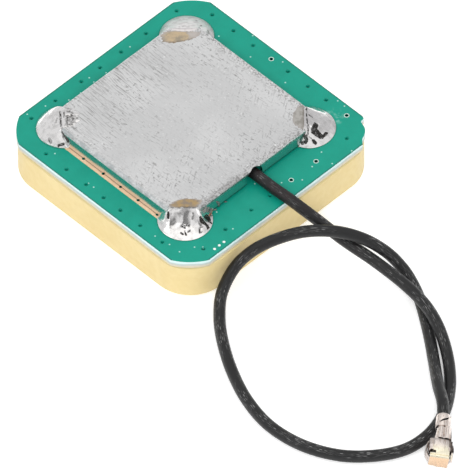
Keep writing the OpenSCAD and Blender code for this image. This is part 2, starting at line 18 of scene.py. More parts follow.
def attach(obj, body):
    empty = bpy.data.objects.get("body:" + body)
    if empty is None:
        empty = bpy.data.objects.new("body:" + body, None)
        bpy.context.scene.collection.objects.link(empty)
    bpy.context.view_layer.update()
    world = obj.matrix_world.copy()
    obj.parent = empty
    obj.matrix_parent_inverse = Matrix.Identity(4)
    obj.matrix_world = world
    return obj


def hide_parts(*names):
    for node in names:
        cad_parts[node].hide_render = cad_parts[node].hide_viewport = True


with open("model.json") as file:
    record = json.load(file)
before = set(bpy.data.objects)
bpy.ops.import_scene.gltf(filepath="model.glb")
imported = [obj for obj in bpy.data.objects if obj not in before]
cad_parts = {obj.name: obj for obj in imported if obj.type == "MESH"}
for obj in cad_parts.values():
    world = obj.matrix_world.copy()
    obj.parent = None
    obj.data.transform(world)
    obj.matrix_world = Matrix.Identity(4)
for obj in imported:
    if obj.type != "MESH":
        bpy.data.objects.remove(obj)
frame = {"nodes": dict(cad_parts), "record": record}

log = logging.getLogger("antenna_module")
MM = 0.001
Point2 = tuple[float, float]
Point3 = tuple[float, float, float]
Colour = tuple[float, float, float]
Face = tuple[int, ...]
Grid = list[list[Point3]]
Shell = tuple[list[Point3], list[Face]]

# Levels over the floor, in millimetres
BOARD_FOOT = 4.2
BOARD_TOP = 5.0
LAND_TOP = 5.04

# Faces whose normal is nearer to upright than this stay flat
LEVEL_FACE = 0.999

# Diagonal of a unit square, for the corners that are cut at 45 degrees
SLANT = math.sqrt(2)

# Route of the free lead from the can to the plug, in millimetres, as it lies
ROUTE: tuple[Point3, ...] = (
    (9, 0, 5.65), (11, 0, 5.65), (12.8, 0.1, 5.62), (14.3, 0.4, 5.15), (15.8, 0.9, 4.35), (18.4, 1.55, 3.25),
    (21.8, 2.15, 2.6), (25.2, 2.45, 2.05), (28, 2.25, 1.8), (30.2, 1.65, 1.55), (32.2, 0.75, 1),
    (34.4, -0.75, 0.62), (36.5, -2.8, 0.57), (38.1, -5.2, 0.57), (38.9, -7.9, 0.57), (38.7, -10.6, 0.57),
    (37.3, -13.15, 0.57), (34.9, -15.5, 0.57), (31.6, -17.05, 0.57), (27.9, -17.5, 0.57), (24.3, -16.8, 0.57),
    (20.9, -15.35, 0.57), (17.9, -13.55, 0.57), (15.6, -11.75, 0.72), (13.9, -9.75, 1.35), (13.3, -7.4, 2.6),
    (13.7, -5.4, 3.65), (14.75, -3.3, 4.4), (16.2, -1.1, 4.78), (18.2, 0.95, 4.7), (20.2, 2.55, 3.95),
    (22.1, 3.6, 2.75), (23.8, 3.95, 1.6), (25.5, 3.65, 0.8), (27.4, 2.7, 0.57), (30.4, 0.65, 0.57),
    (33.2, -1.5, 0.75), (36, -3.8, 1.65), (38, -5.25, 2.15), (39.1, -6.3, 1.95),
)


class Corner(Enum):
    """Corners of the can and the board, by the signs of their X and Y."""

    LEFT = (-1, -1)
    BACK = (-1, 1)
    RIGHT = (1, 1)
    FRONT = (1, -1)


def mixed(a: float, b: float, share: float) -> float:
    """Returns the value that lies a share of the way from a to b."""
    return a + (b - a) * share


def eased(value: float, low: float, high: float) -> float:
    """Returns how far value lies between low and high, from 0 to 1, with soft ends."""
    t = min(1.0, max(0.0, (value - low) / (high - low)))
    return t * t * (3 - 2 * t)


def mound(value: float, middle: float, width: float) -> float:
    """Returns the height, from 0 to 1, of a soft mound over its middle."""
    return math.exp(-(((value - middle) / width) ** 2))


def turned(x: float, y: float, quarters: int) -> Point2:
    """Returns a place turned about the origin by quarter turns."""
    for _ in range(quarters):
        x, y = -y, x
    return x, y


def ripple(x: float, y: float, size: float, seed: float) -> float:
    """Returns smooth noise from about -1 to 1.

    Args:
        x: Place along X, in millimetres.
        y: Place along Y, in millimetres.
        size: Size of a lump, in millimetres.
        seed: Chooses another field of lumps.

    Returns:
        The noise at that place.
    """
    return noise.noise(Vector((x / size, y / size, seed)))


def linked(name: str, data: ID) -> Object:
    """Returns a new object of this data, put in the scene."""
    thing = bpy.data.objects.new(name, data)
    bpy.context.scene.collection.objects.link(thing)
    return thing


def meshed(name: str, points: Sequence[Point3], faces: Sequence[Face], unit: float = MM) -> Mesh:
    """Returns a new mesh, whose points are in millimetres or in another unit."""
    mesh = bpy.data.meshes.new(name)
    mesh.from_pydata([(x * unit, y * unit, z * unit) for x, y, z in points], [], faces)
    return mesh


def modified(holder: Object, kind: str, **settings: Any) -> None:
    """Adds a modifier with its settings to an object."""
    modifier = holder.modifiers.new(kind.lower(), kind)
    for key, value in settings.items():
        setattr(modifier, key, value)


def settled(name: str, mesh: Mesh, crease: float = 35.0, near: float = 2e-7) -> Object:
    """Joins doubled points, turns the faces outwards, shades the mesh and puts it in the scene.

    Args:
        name: Name of the new object.
        mesh: The mesh.
        crease: Angle in degrees over which an edge stays sharp.
        near: Points closer than this are one point.

    Returns:
        The new object.
    """
    work = bmesh.new()
    work.from_mesh(mesh)
    bmesh.ops.remove_doubles(work, verts=work.verts, dist=near)
    bmesh.ops.dissolve_degenerate(work, edges=work.edges, dist=near / 20)
    bmesh.ops.recalc_face_normals(work, faces=work.faces)
    work.to_mesh(mesh)
    work.free()
    mesh.shade_smooth()
    mesh.set_sharp_from_angle(angle=math.radians(crease))
    mesh.name = name
    return linked(name, mesh)


def shaped(name: str, shell: Shell, crease: float = 35.0, **marks: Sequence[float]) -> Object:
    """Makes a mesh object.

    Args:
        name: Name of the new object.
        shell: Its points, in millimetres, and its faces, which index the points.
        crease: Angle in degrees over which an edge stays sharp.
        marks: Values to store on the points, such as how stained each is, from 0 to 1.

    Returns:
        The new object.
    """
    mesh = meshed(name, *shell)
    for key, values in marks.items():
        mesh.attributes.new(key, "FLOAT", "POINT").data.foreach_set("value", values)
    return settled(name, mesh, crease)


def flattened(name: str, holder: Object) -> Mesh:
    """Returns the plain mesh that an object's curve or modifiers give, and removes the object."""
    bpy.context.view_layer.update()
    seen = bpy.context.evaluated_depsgraph_get()
    mesh = bpy.data.meshes.new_from_object(holder.evaluated_get(seen))
    mesh.name = name
    bpy.data.objects.remove(holder)
    return mesh


def plate(name: str, loops: Sequence[Sequence[Point2]], foot: float, top: float, bevel: float) -> Object:
    """Makes a flat plate with holes and softly broken edges.

    Args:
        name: Name of the new object.
        loops: Outline and holes, in millimetres.
        foot: Level of the underside, in millimetres.
        top: Level of the upper side, in millimetres.
        bevel: Size of the broken edge, in millimetres.

    Returns:
        The plate's object.
    """
    curve = bpy.data.curves.new(name, "CURVE")
    curve.dimensions = "2D"
    curve.fill_mode = "BOTH"
    curve.extrude = (top - foot) / 2 - bevel
    curve.bevel_depth = bevel
    curve.bevel_resolution = 1
    curve.offset = -bevel
    for loop in loops:
        spline = curve.splines.new("POLY")
        spline.points.add(len(loop) - 1)
        for point, (x, y) in zip(spline.points, loop):
            point.co = (x, y, 0, 1)
        spline.use_cyclic_u = True
    mesh = flattened(name, linked(name, curve))
    mesh.transform(Matrix.Scale(MM, 4) @ Matrix.Translation((0, 0, (foot + top) / 2)))
    piece = settled(name, mesh)
    for face in piece.data.polygons:
        face.use_smooth = abs(face.normal.z) < LEVEL_FACE
    return piece


def round_loop(x: float, y: float, radius: float, count: int = 24) -> list[Point2]:
    """Returns the points of a circle."""
    turns = [2 * math.pi * k / count for k in range(count)]
    return [(x + radius * math.cos(turn), y + radius * math.sin(turn)) for turn in turns]


def grid_faces(rows: int, columns: int, closed: bool = False) -> list[Face]:
    """Returns the quads of a grid of points stored row by row, closed round its columns or not."""
    steps = [(c, (c + 1) % columns) for c in range(columns if closed else columns - 1)]
    rungs = [(r * columns, (r + 1) * columns) for r in range(rows - 1)]
    return [(low + c, low + d, high + d, high + c) for low, high in rungs for c, d in steps]


def prism_faces(count: int) -> list[Face]:
    """Returns the faces of a prism whose points are one outline and then the other."""
    ends = [tuple(range(count)), tuple(reversed(range(count, 2 * count)))]
    return ends + [(k, (k + 1) % count, (k + 1) % count + count, k + count) for k in range(count)]


def joined(shells: Sequence[Shell]) -> Shell:
    """Returns several shells of points and faces as one."""
    points: list[Point3] = []
    faces: list[Face] = []
    for part_points, part_faces in shells:
        faces += [tuple(len(points) + v for v in face) for face in part_faces]
        points += part_points
    return points, faces


def skinned(outer: Grid, inner: Grid, closed: bool = False) -> Shell:
    """Returns the closed shell between two grids of points.

    Args:
        outer: Rows of points of the outer skin.
        inner: As many rows of the inner skin.
        closed: Whether the rows run all the way round.

    Returns:
        The shell's points and faces.
    """
    rows, columns = len(outer), len(outer[0])
    points = [tuple(p) for grid in (outer, inner) for row in grid for p in row]
    half = rows * columns
    quads = grid_faces(rows, columns, closed)
    faces = quads + [tuple(half + v for v in reversed(quad)) for quad in quads]
    last = (rows - 1) * columns
    for c in range(columns if closed else columns - 1):
        d = (c + 1) % columns
        faces.append((d, c, half + c, half + d))
        faces.append((last + c, last + d, half + last + d, half + last + c))
    if not closed:
        for r in range(rows - 1):
            a, b = r * columns, (r + 1) * columns
            faces.append((a, b, half + b, half + a))
            c, d = a + columns - 1, b + columns - 1
            faces.append((d, c, half + c, half + d))
    return points, faces


def dressed(piece: Object, material: Material, slot: str, *nodes: str) -> Object:
    """Gives a new piece its finish and its place in the module.

    Args:
        piece: The new piece.
        material: Its finish.
        slot: The record's slot for that finish; not used.
        nodes: The solids that the piece stands for.

    Returns:
        The piece.
    """
    if not piece.data.materials:
        piece.data.materials.append(material)
    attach(piece, "root")
    if nodes:
        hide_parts(*nodes)
    log.info("made %s, %d faces", piece.name, len(piece.data.polygons))
    return piece


class Value:
    """A value in a node tree, which adds, subtracts and multiplies as a number does."""

    def __init__(self, recipe: "Recipe", socket: NodeSocket) -> None:
        """Takes the recipe that it belongs to and the socket that gives it."""
        self.recipe = recipe
        self.socket = socket

    def __add__(self, other: Any) -> "Value":
        """Returns the sum."""
        return self.recipe.sum("ADD", self, other)

    def __sub__(self, other: Any) -> "Value":
        """Returns the difference."""
        return self.recipe.sum("SUBTRACT", self, other)

    def __mul__(self, other: Any) -> "Value":
        """Returns the product."""
        return self.recipe.sum("MULTIPLY", self, other)


Feed = Value | float | tuple[float, ...]
Feeds = dict[int | str, Any]


class Recipe:
    """A node tree under construction, with short calls for the nodes that the finishes share."""

    def __init__(self, tree: NodeTree) -> None:
        """Takes the tree that the nodes go into."""
        self.tree = tree

    def feed(self, node: Node, key: int | str, value: Any) -> None:
        """Links a value to a node's input, or sets the input to a plain number, vector or finish."""
        value = value.socket if isinstance(value, Value) else value
        if isinstance(value, NodeSocket):
            self.tree.links.new(value, node.inputs[key])
        else:
            node.inputs[key].default_value = value

    def add(self, kind: str, feeds: Feeds | None = None, **settings: Any) -> Node:
        """Adds a node with its settings and feeds its inputs."""
        node = self.tree.nodes.new(kind)
        for name, value in settings.items():
            setattr(node, name, value)
        for key, value in (feeds or {}).items():
            self.feed(node, key, value)
        return node

    def out(self, key: int | str, kind: str, feeds: Feeds | None = None, **settings: Any) -> Value:
        """Adds a node and returns one of its outputs."""
        return Value(self, self.add(kind, feeds, **settings).outputs[key])

    def place(self) -> Value:
        """Returns the object's own coordinates, in metres."""
        return self.out("Object", "ShaderNodeTexCoord")

    def attribute(self, name: str) -> Value:
        """Returns a value stored on the mesh."""
        return self.out("Fac", "ShaderNodeAttribute", attribute_name=name)

    def axes(self, vector: Any) -> list[Value]:
        """Returns a vector's X, Y and Z."""
        return [Value(self, socket) for socket in self.add("ShaderNodeSeparateXYZ", {0: vector}).outputs]

    def vector(self, operation: str, a: Feed, b: Feed = (0, 0, 0)) -> Value:
        """Returns one sum of two vectors, which is a plain value for a distance or a dot product."""
        key = "Value" if operation in ("DISTANCE", "DOT_PRODUCT") else "Vector"
        return self.out(key, "ShaderNodeVectorMath", {0: a, 1: b}, operation=operation)

    def stretched(self, vector: Feed, scale: Point3, turn: float = 0.0) -> Value:
        """Returns coordinates turned about Z by degrees and then scaled."""
        feeds = {"Vector": vector, "Angle": math.radians(turn)}
        way = self.out(0, "ShaderNodeVectorRotate", feeds, rotation_type="Z_AXIS")
        return self.vector("MULTIPLY", way, scale)

    def grain(self, vector: Feed, scale: Any, detail: float = 2.0, rough: float = 0.5) -> Value:
        """Returns noise from 0 to 1 at a scale in lumps to the metre."""
        feeds = {"Vector": vector, "Scale": scale, "Detail": detail, "Roughness": rough}
        return self.out("Fac", "ShaderNodeTexNoise", feeds)

    def sum(self, operation: str, a: Feed, b: Any = 0.0, clamp: bool = False) -> Value:
        """Returns one sum of two values."""
        return self.out(0, "ShaderNodeMath", {0: a, 1: b}, operation=operation, use_clamp=clamp)

    def span(self, value: Feed, low: float, high: float, to_low: float = 0.0, to_high: float = 1.0) -> Value:
        """Returns a value moved smoothly from one span to another."""
        feeds = {"Value": value, "From Min": low, "From Max": high, "To Min": to_low, "To Max": to_high}
        return self.out(0, "ShaderNodeMapRange", feeds, interpolation_type="SMOOTHSTEP")

    def blend(self, share: Feed, a: Feed, b: Feed) -> Value:
        """Returns a colour mixed from two."""
        a, b = ((*tone, 1) if isinstance(tone, tuple) else tone for tone in (a, b))
        return self.out(2, "ShaderNodeMix", {0: share, 6: a, 7: b}, data_type="RGBA")

    def bump(self, height: Feed, depth: Any) -> Value:
        """Returns a normal raised by a height, whose full depth is in metres."""
        return self.out(0, "ShaderNodeBump", {"Height": height, "Distance": depth, "Strength": 1.0})

    def group(self, tree: NodeTree, **feeds: Feed) -> dict[str, Value]:
        """Adds a shared group, feeds it and returns what it puts out by name."""
        made = self.add("ShaderNodeGroup", node_tree=tree)
        for key, value in feeds.items():
            self.feed(made, key.title(), value)
        return {socket.name: Value(self, socket) for socket in made.outputs}


class Finish(Recipe):
    """A material under construction, around one surface shader."""

    def __init__(self, name: str, **constants: Any) -> None:
        """Starts a material whose shader has these constant inputs."""
        self.material = bpy.data.materials.new(name)
        self.material.use_nodes = True
        self.material.node_tree.nodes.clear()
        super().__init__(self.material.node_tree)
        self.surface = self.add("ShaderNodeBsdfPrincipled")
        self.add("ShaderNodeOutputMaterial", {"Surface": self.surface.outputs[0]})
        self.set(**constants)

    def set(self, **feeds: Any) -> Material:
        """Feeds the shader's inputs, from the tree or with constants, and returns the material."""
        for key, value in feeds.items():
            self.feed(self.surface, key.replace("_", " ").title().replace("Ior", "IOR"), value)
        return self.material


class Effects:
    """Shader groups that more than one finish uses."""

    def __init__(self) -> None:
        """Makes the groups."""
        self.speckle = self._speckle()
        self.strokes = self._strokes()

    @staticmethod
    def _new(
        name: str, inputs: dict[str, tuple[str, Any]], outputs: dict[str, str]
    ) -> tuple[Recipe, Any, Node]:
        """Starts a group with named sockets and returns its recipe, its input sockets and its output node."""
        tree = bpy.data.node_groups.new(name, "ShaderNodeTree")
        for key, (kind, value) in inputs.items():
            socket = tree.interface.new_socket(key, in_out="INPUT", socket_type="NodeSocket" + kind)
            socket.default_value = value
        for key, kind in outputs.items():
            tree.interface.new_socket(key, in_out="OUTPUT", socket_type="NodeSocket" + kind)
        recipe = Recipe(tree)
        return recipe, recipe.add("NodeGroupInput").outputs, recipe.add("NodeGroupOutput")

    def _speckle(self) -> NodeTree:
        """Makes the group that gives a fine mottle, and a normal raised by it."""
        recipe, given, taken = self._new(
            "fine_speckle",
            {"Scale": ("Float", 2000.0), "Depth": ("Float", 1e-5)},
            {"Mottle": "Float", "Normal": "Vector"},
        )
        place = recipe.place()
        fine = recipe.grain(place, given["Scale"], 3.0)
        recipe.feed(taken, "Mottle", fine * 0.5 + recipe.grain(place, 260.0, 3.0) * 0.5)
        recipe.feed(taken, "Normal", recipe.bump(fine, given["Depth"]))
        return recipe.tree

    def _strokes(self) -> NodeTree:
        """Makes the group that gives fine parallel strokes along X, broken into short lengths."""
        inputs = {
            "Vector": ("Vector", (0, 0, 0)),
            "Length": ("Float", 240.0),
            "Fineness": ("Float", 5200.0),
            "Rarity": ("Float", 0.6),
        }
        recipe, given, taken = self._new("fine_strokes", inputs, {"Mask": "Float"})
        x, y, z = recipe.axes(given["Vector"])
        flow = recipe.out(0, "ShaderNodeCombineXYZ", {0: x * given["Length"], 1: y * given["Fineness"], 2: z})
        above = recipe.grain(flow, 1.0, 1.0) - given["Rarity"]
        recipe.feed(taken, "Mask", recipe.sum("MULTIPLY", above, 14.0, clamp=True))
        return recipe.tree


@dataclass(frozen=True)
class SpeckledFinish:
    """A plain finish whose colour and surface vary a little, for mouldings, metals and films."""

    name: str
    colour: Colour
    second: Colour
    roughness: float = 0.5
    metallic: float = 0.0
    scale: float = 2500.0
    depth: float = 4e-6
    specular: float = 0.5

    def shade(self, finish: Finish, mottle: Value) -> Value:
        """Returns the mottled colour."""
        return finish.blend(finish.span(mottle, 0.35, 0.65), self.colour, self.second)

    def make(self, effects: Effects) -> Material:
        """Returns the material."""
        finish = Finish(self.name, metallic=self.metallic, specular_ior_level=self.specular)
        speckle = finish.group(effects.speckle, scale=self.scale, depth=self.depth)
        mottle = speckle["Mottle"]
        rough = finish.span(mottle, 0.3, 0.7, self.roughness - 0.06, self.roughness + 0.06)
        return finish.set(base_color=self.shade(finish, mottle), roughness=rough, normal=speckle["Normal"])


@dataclass(frozen=True)
class CeramicFinish(SpeckledFinish):
    """Cream fired ceramic with a dry pressed grain, a little darker along its top under the board: painted
    shade.
    """

    under_board_shade: Colour = (0.55, 0.44, 0.24)
    under_board_shade_reach: Point2 = (3.9, 4.05)

    def shade(self, finish: Finish, mottle: Value) -> Value:
        """Returns the mottled colour, darker near the top with painted shade."""
        low, high = self.under_board_shade_reach
        # Painted shade: the ceramic is darkened just under the board's edge.
        under = finish.span(finish.axes(finish.place())[2], low * MM, high * MM, 0.0, 0.2)
        return finish.blend(under, super().shade(finish, mottle), self.under_board_shade)


@dataclass(frozen=True)
class MaskFinish(SpeckledFinish):
    """Green solder mask with darker rims round the soldered lands, specks of dust and a faint flux bloom.

    The first colour is the green and the second the deeper green of the rims.
    """

    dust: Colour = (0.55, 0.8, 0.74)
    edge: Colour = (0.014, 0.15, 0.115)
    edge_reach: Point2 = (12.31, 12.43)
    lands: Point2 = (-0.55, -0.1)
    land_half: float = 8.0
    rim_reach: Point2 = (2.55, 2.77)
    specks: float = 560.0
    speck_chance: float = 0.54
    bloom: Point2 = (8.2, 10.6)
    bloom_reach: Point2 = (0.3, 1.3)

    def shade(self, finish: Finish, mottle: Value) -> Value:
        """Returns the green with its rims, specks and bloom."""
        place, half = finish.place(), self.land_half * MM
        colour = finish.blend(finish.span(mottle, 0.3, 0.7, 0.0, 0.35), self.colour, self.second)
        from_middle = finish.vector("SUBTRACT", place, (self.lands[0] * MM, self.lands[1] * MM, 0))
        flat = finish.vector("MULTIPLY", finish.vector("ABSOLUTE", from_middle), (1, 1, 0))
        reach = finish.vector("DISTANCE", flat, (half, half, 0))
        near_land = finish.span(reach, *(v * MM for v in self.rim_reach), 1.0, 0.0)
        colour = finish.blend(near_land, colour, self.second)
        x, y, _ = finish.axes(finish.vector("ABSOLUTE", place))
        out = finish.span(finish.sum("MAXIMUM", x, y), *(v * MM for v in self.edge_reach), 0.0, 0.8)
        colour = finish.blend(out, colour, self.edge)
        feeds = {"Vector": place, "Scale": self.specks}
        cells = finish.add("ShaderNodeTexVoronoi", feeds, feature="F1", voronoi_dimensions="2D").outputs
        speck = finish.span(cells["Distance"], 0.025, 0.055, 1.0, 0.0)
        chosen = finish.sum("GREATER_THAN", cells["Color"], self.speck_chance)
        colour = finish.blend(speck * chosen * 0.8, colour, self.dust)
        away = finish.vector("DISTANCE", place, (self.bloom[0] * MM, self.bloom[1] * MM, BOARD_TOP * MM))
        cloud = finish.span(finish.grain(place, 1900.0, 3.0), 0.42, 0.66)
        bloom = finish.span(away, *(v * MM for v in self.bloom_reach), 0.34, 0.0) * cloud
        return finish.blend(bloom, colour, self.dust)


@dataclass(frozen=True)
class SolderFinish:
    """Bright tin with soft lumps and frost, dark where flux scorched into it and where shade and dark
    reflections are painted.
    """

    name: str = "bright_solder"
    bright: Colour = (0.88, 0.862, 0.855)
    dull: Colour = (0.68, 0.665, 0.66)
    burnt_and_shade: Colour = (0.045, 0.042, 0.04)
    rough: Point2 = (0.15, 0.3)
    depth: float = 5e-5

    def make(self, effects: Effects) -> Material:
        """Returns the material."""
        finish = Finish(self.name, metallic=1.0)
        place = finish.place()
        frost = finish.span(finish.grain(place, 2100.0, 3.0), 0.42, 0.68)
        ragged = finish.span(finish.grain(place, 5600.0), 0.3, 0.7, 0.55, 1.45)
        # The stored darkness is partly scorched flux and partly painted shade in creases and painted dark
        # reflections.
        stain = finish.span(finish.attribute("stain") * ragged, 0.05, 0.9)
        finish.set(base_color=finish.blend(stain, finish.blend(frost, self.bright, self.dull), self.burnt_and_shade))
        finish.set(roughness=stain * 0.24 + finish.span(frost, 0.0, 1.0, *self.rough))
        return finish.set(normal=finish.bump(finish.grain(place, 900.0, 2.0, 0.45), self.depth))


@dataclass(frozen=True)
class EdgeFinish:
    """Cut edge of the board: white under the mask, grey resin with level threads, and tan towards its foot.
    """

    name: str = "board_edge"
    pale: Colour = (0.62, 0.79, 0.79)
    middle: Colour = (0.46, 0.53, 0.51)
    low: Colour = (0.63, 0.565, 0.43)
    thread: Colour = (0.5, 0.58, 0.57)
    tan_reach: Point2 = (0.2, 0.34)
    white_reach: Point2 = (-0.36, -0.2)

    def make(self, effects: Effects) -> Material:
        """Returns the material."""
        finish = Finish(self.name, roughness=0.5)
        place = finish.place()
        flow = finish.stretched(place, (420.0, 420.0, 5200.0))
        threads = finish.span(finish.grain(flow, 1.0, 3.0), 0.46, 0.72)
        level = finish.axes(place)[2] + finish.span(finish.grain(place, 700.0), 0.3, 0.7, -5e-5, 5e-5)
        above_tan = finish.span(level, *((BOARD_FOOT + v) * MM for v in self.tan_reach))
        white = finish.span(level, *((BOARD_TOP + v) * MM for v in self.white_reach))
        colour = finish.blend(above_tan, self.low, finish.blend(threads * 0.5, self.middle, self.thread))
        finish.set(base_color=finish.blend(white, colour, self.pale))
        return finish.set(normal=finish.bump(threads, 8e-6))


@dataclass(frozen=True)
class TinplateFinish:
    """Shield can: brushed and scratched on its lid, bright on its walls with painted shadow at their foot,
    and worn along its folds, whose darker blotches are partly tarnish and partly painted reflection.
    """

    name: str = "scratched_tinplate"
    lid: Colour = (0.7, 0.7, 0.702)
    pale: Colour = (0.765, 0.765, 0.767)
    mark: Colour = (0.2, 0.195, 0.19)
    wall: Colour = (0.66, 0.665, 0.67)
    shadow: Colour = (0.05, 0.045, 0.04)
    glint: Colour = (0.97, 0.97, 0.97)
    tarnish_and_reflection: Colour = (0.41, 0.44, 0.445)
    lid_middle: Point3 = (0, 0.0005, 0.00674)

    def make(self, effects: Effects) -> Material:
        """Returns the material."""
        finish = Finish(self.name, metallic=1.0)
        place = finish.place()
        lid = finish.attribute("lid")
        along, across, _ = finish.axes(place)
        broad = finish.grain(place, 170.0)
        slanted = finish.stretched(place, (1.3, 1, 1), 31.0)
        glints = finish.span(finish.grain(slanted, 4200.0, 1.0), 0.68, 0.75)
        worn = finish.span(finish.attribute("rim"), 0.0, 0.0011, 1.0, 0.0)
        marks = self._marks(finish, effects, along, across, worn)
        colour = finish.blend(finish.span(broad, 0.4, 0.62), self.lid, self.pale)
        colour = finish.blend(marks, colour, self.mark)
        colour = finish.blend(glints * finish.span(worn, 0.0, 1.0, 0.5, 1.0), colour, self.glint)
        dull = finish.span(finish.grain(place, 1300.0, 4.0, 0.6), 0.36, 0.6, 0.3, 1.0)
        # Partly tarnish and partly painted reflection: the -Y fold is blended in blotches towards grey-green,
        # as where it mirrors the board.
        folded = finish.span(across, -9.3 * MM, -9.06 * MM, 1.0, 0.0)
        colour = finish.blend(folded * dull, colour, self.tarnish_and_reflection)
        # Painted reflection: the +X fold is darkened in blotches where it mirrors the board.
        edge = finish.span(along, 7.85 * MM, 8.25 * MM)
        edge = edge * finish.span(across, -2.5 * MM, -1.2 * MM, 0.42, 0.15)
        colour = finish.blend(edge * dull, colour, self.mark)
        wall = finish.blend(finish.attribute("foot"), self.wall, self.shadow)
        rough = finish.out(0, "ShaderNodeMix", {0: lid, 2: 0.18, 3: broad * 0.12 + 0.36}, data_type="FLOAT")
        finish.set(base_color=finish.blend(lid, wall, colour), roughness=rough)
        return finish.set(normal=finish.bump((glints * 0.5 - marks) * lid, 8e-6))

    def _marks(self, finish: Finish, effects: Effects, along: Value, across: Value, worn: Value) -> Value:
        """Returns the lid's scratches, pits and grit.

        Args:
            finish: The material.
            effects: The shared groups.
            along: Place along X, in metres.
            across: Place along Y, in metres.
            worn: How near a fold lies.

        Returns:
            How dark the marks are, from 0 to 1.
        """
        place = finish.place()

        def strokes(turn: float, length: float, fineness: float, rarity: float) -> Value:
            """Returns one field of strokes, at an angle in degrees."""
            vector = finish.stretched(place, (1, 1, 1), turn)
            sizes = {"length": length, "fineness": fineness, "rarity": rarity}
            return finish.group(effects.strokes, vector=vector, **sizes)["Mask"]

        left = finish.span(along, -8.5 * MM, -1.5 * MM, 1.0, 0.14)
        left = left * finish.span(across, 0.5 * MM, 6.5 * MM, 1.0, 0.22)
        right = finish.span(along, -5.0 * MM, 2.0 * MM, 0.2, 1.0)
        busy = finish.span(finish.grain(place, 330.0), 0.38, 0.62, 0.3, 1.0)
        brushed = strokes(0.0, 260.0, 5200.0, 0.585) * 0.5 + strokes(5.0, 700.0, 8600.0, 0.56) * 0.5
        short = strokes(-4.0, 1300.0, 7000.0, 0.6) * 0.75 + strokes(58.0, 1000.0, 6200.0, 0.605) * 0.6 * right
        pits = finish.span(finish.grain(place, 3100.0, 1.0), 0.63, 0.71)
        sides = finish.span(along, 6.9 * MM, 7.4 * MM), finish.span(across, 6.7 * MM, 7.2 * MM)
        chafed = finish.sum("MAXIMUM", *sides)
        grit = finish.span(finish.grain(place, 5600.0), 0.5, 0.6) * finish.span(chafed, 0.0, 1.0, 0.35, 1.0)
        marks = brushed * left + short * busy * 0.74 + pits * busy * 0.7
        marks = finish.sum("ADD", marks, grit * worn * 0.8, clamp=True)
        return marks * finish.span(finish.vector("DISTANCE", place, self.lid_middle), 0.002, 0.006, 0.3, 0.72)


@dataclass(frozen=True)
class JacketFinish:
    """Black extruded jacket: satin, browner and sooty near the can, with broken rows of painted highlight
    dashes and fine scuffed streaks.
    """

    name: str = "black_jacket"
    black: Colour = (0.0115, 0.0115, 0.012)
    brown: Colour = (0.016, 0.0098, 0.0105)
    glint_and_scuff: Colour = (0.33, 0.33, 0.33)
    lay: float = 0.72
    rows: float = 21.0
    crown: float = 0.26

    def dashes(self, finish: Finish, along: Value, around: Value) -> Value:
        """Returns short dashes of painted highlight in rows along the lead, one to each turn of the braid
        under the jacket, brightest along its crown.
        """
        row = around * self.rows
        cell = finish.sum("FLOOR", row)
        shift = finish.out("Value", "ShaderNodeTexWhiteNoise", {"W": cell}, noise_dimensions="1D")
        run = along * finish.span(shift, 0.0, 1.0, 70 / self.lay, 150 / self.lay) + shift * 7.0
        spot = finish.out(0, "ShaderNodeCombineXYZ", {0: finish.sum("FLOOR", run), 1: cell})
        chance = finish.out("Value", "ShaderNodeTexWhiteNoise", {"Vector": spot}, noise_dimensions="2D")
        off_row, off_run = (finish.sum("ABSOLUTE", finish.sum("FRACT", v) - 0.5) for v in (row, run))
        dash = finish.span(off_row, 0.08, 0.22, 1.0, 0.0) * finish.span(off_run, 0.12, 0.42, 1.0, 0.0)
        # Painted highlight: the dashes are strongest along the crown, where the light catches the lead.
        above = finish.span(finish.sum("ABSOLUTE", around - self.crown), 0.05, 0.2, 1.0, 0.12)
        return dash * above * finish.span(chance, 0.45, 0.95)

    def make(self, effects: Effects) -> Material:
        """Returns the material."""
        finish = Finish(self.name, specular_ior_level=0.34)
        unrolled = finish.out(0, "ShaderNodeUVMap", uv_map="unrolled")
        along, around, _ = finish.axes(unrolled)
        lines, patches, drawn = (
            finish.grain(finish.stretched(unrolled, (*scale, 1.0)), 1.0, detail)
            for scale, detail in (((40.0, 60.0), 2.0), ((26.0, 5.0), 1.0), ((120.0, 90.0), 2.0))
        )
        streaks = finish.span(drawn, 0.57, 0.7, 0.0, 0.6)
        # Painted highlight dashes together with real scuffed streaks.
        glints_and_scuffs = finish.sum("MAXIMUM", self.dashes(finish, along, around), streaks)
        glints_and_scuffs = glints_and_scuffs * finish.span(patches, 0.4, 0.62)
        tinge = finish.span(finish.grain(finish.place(), 520.0), 0.42, 0.62)
        tinge = tinge * finish.span(along, 0.0, 0.16, 1.0, 0.0)
        colour = finish.blend(tinge, self.black, self.brown)
        finish.set(base_color=finish.blend(glints_and_scuffs * 0.8, colour, self.glint_and_scuff))
        finish.set(roughness=finish.span(lines, 0.35, 0.65, 0.34, 0.5))
        return finish.set(normal=finish.bump(lines + glints_and_scuffs * 0.6, 1.6e-5))


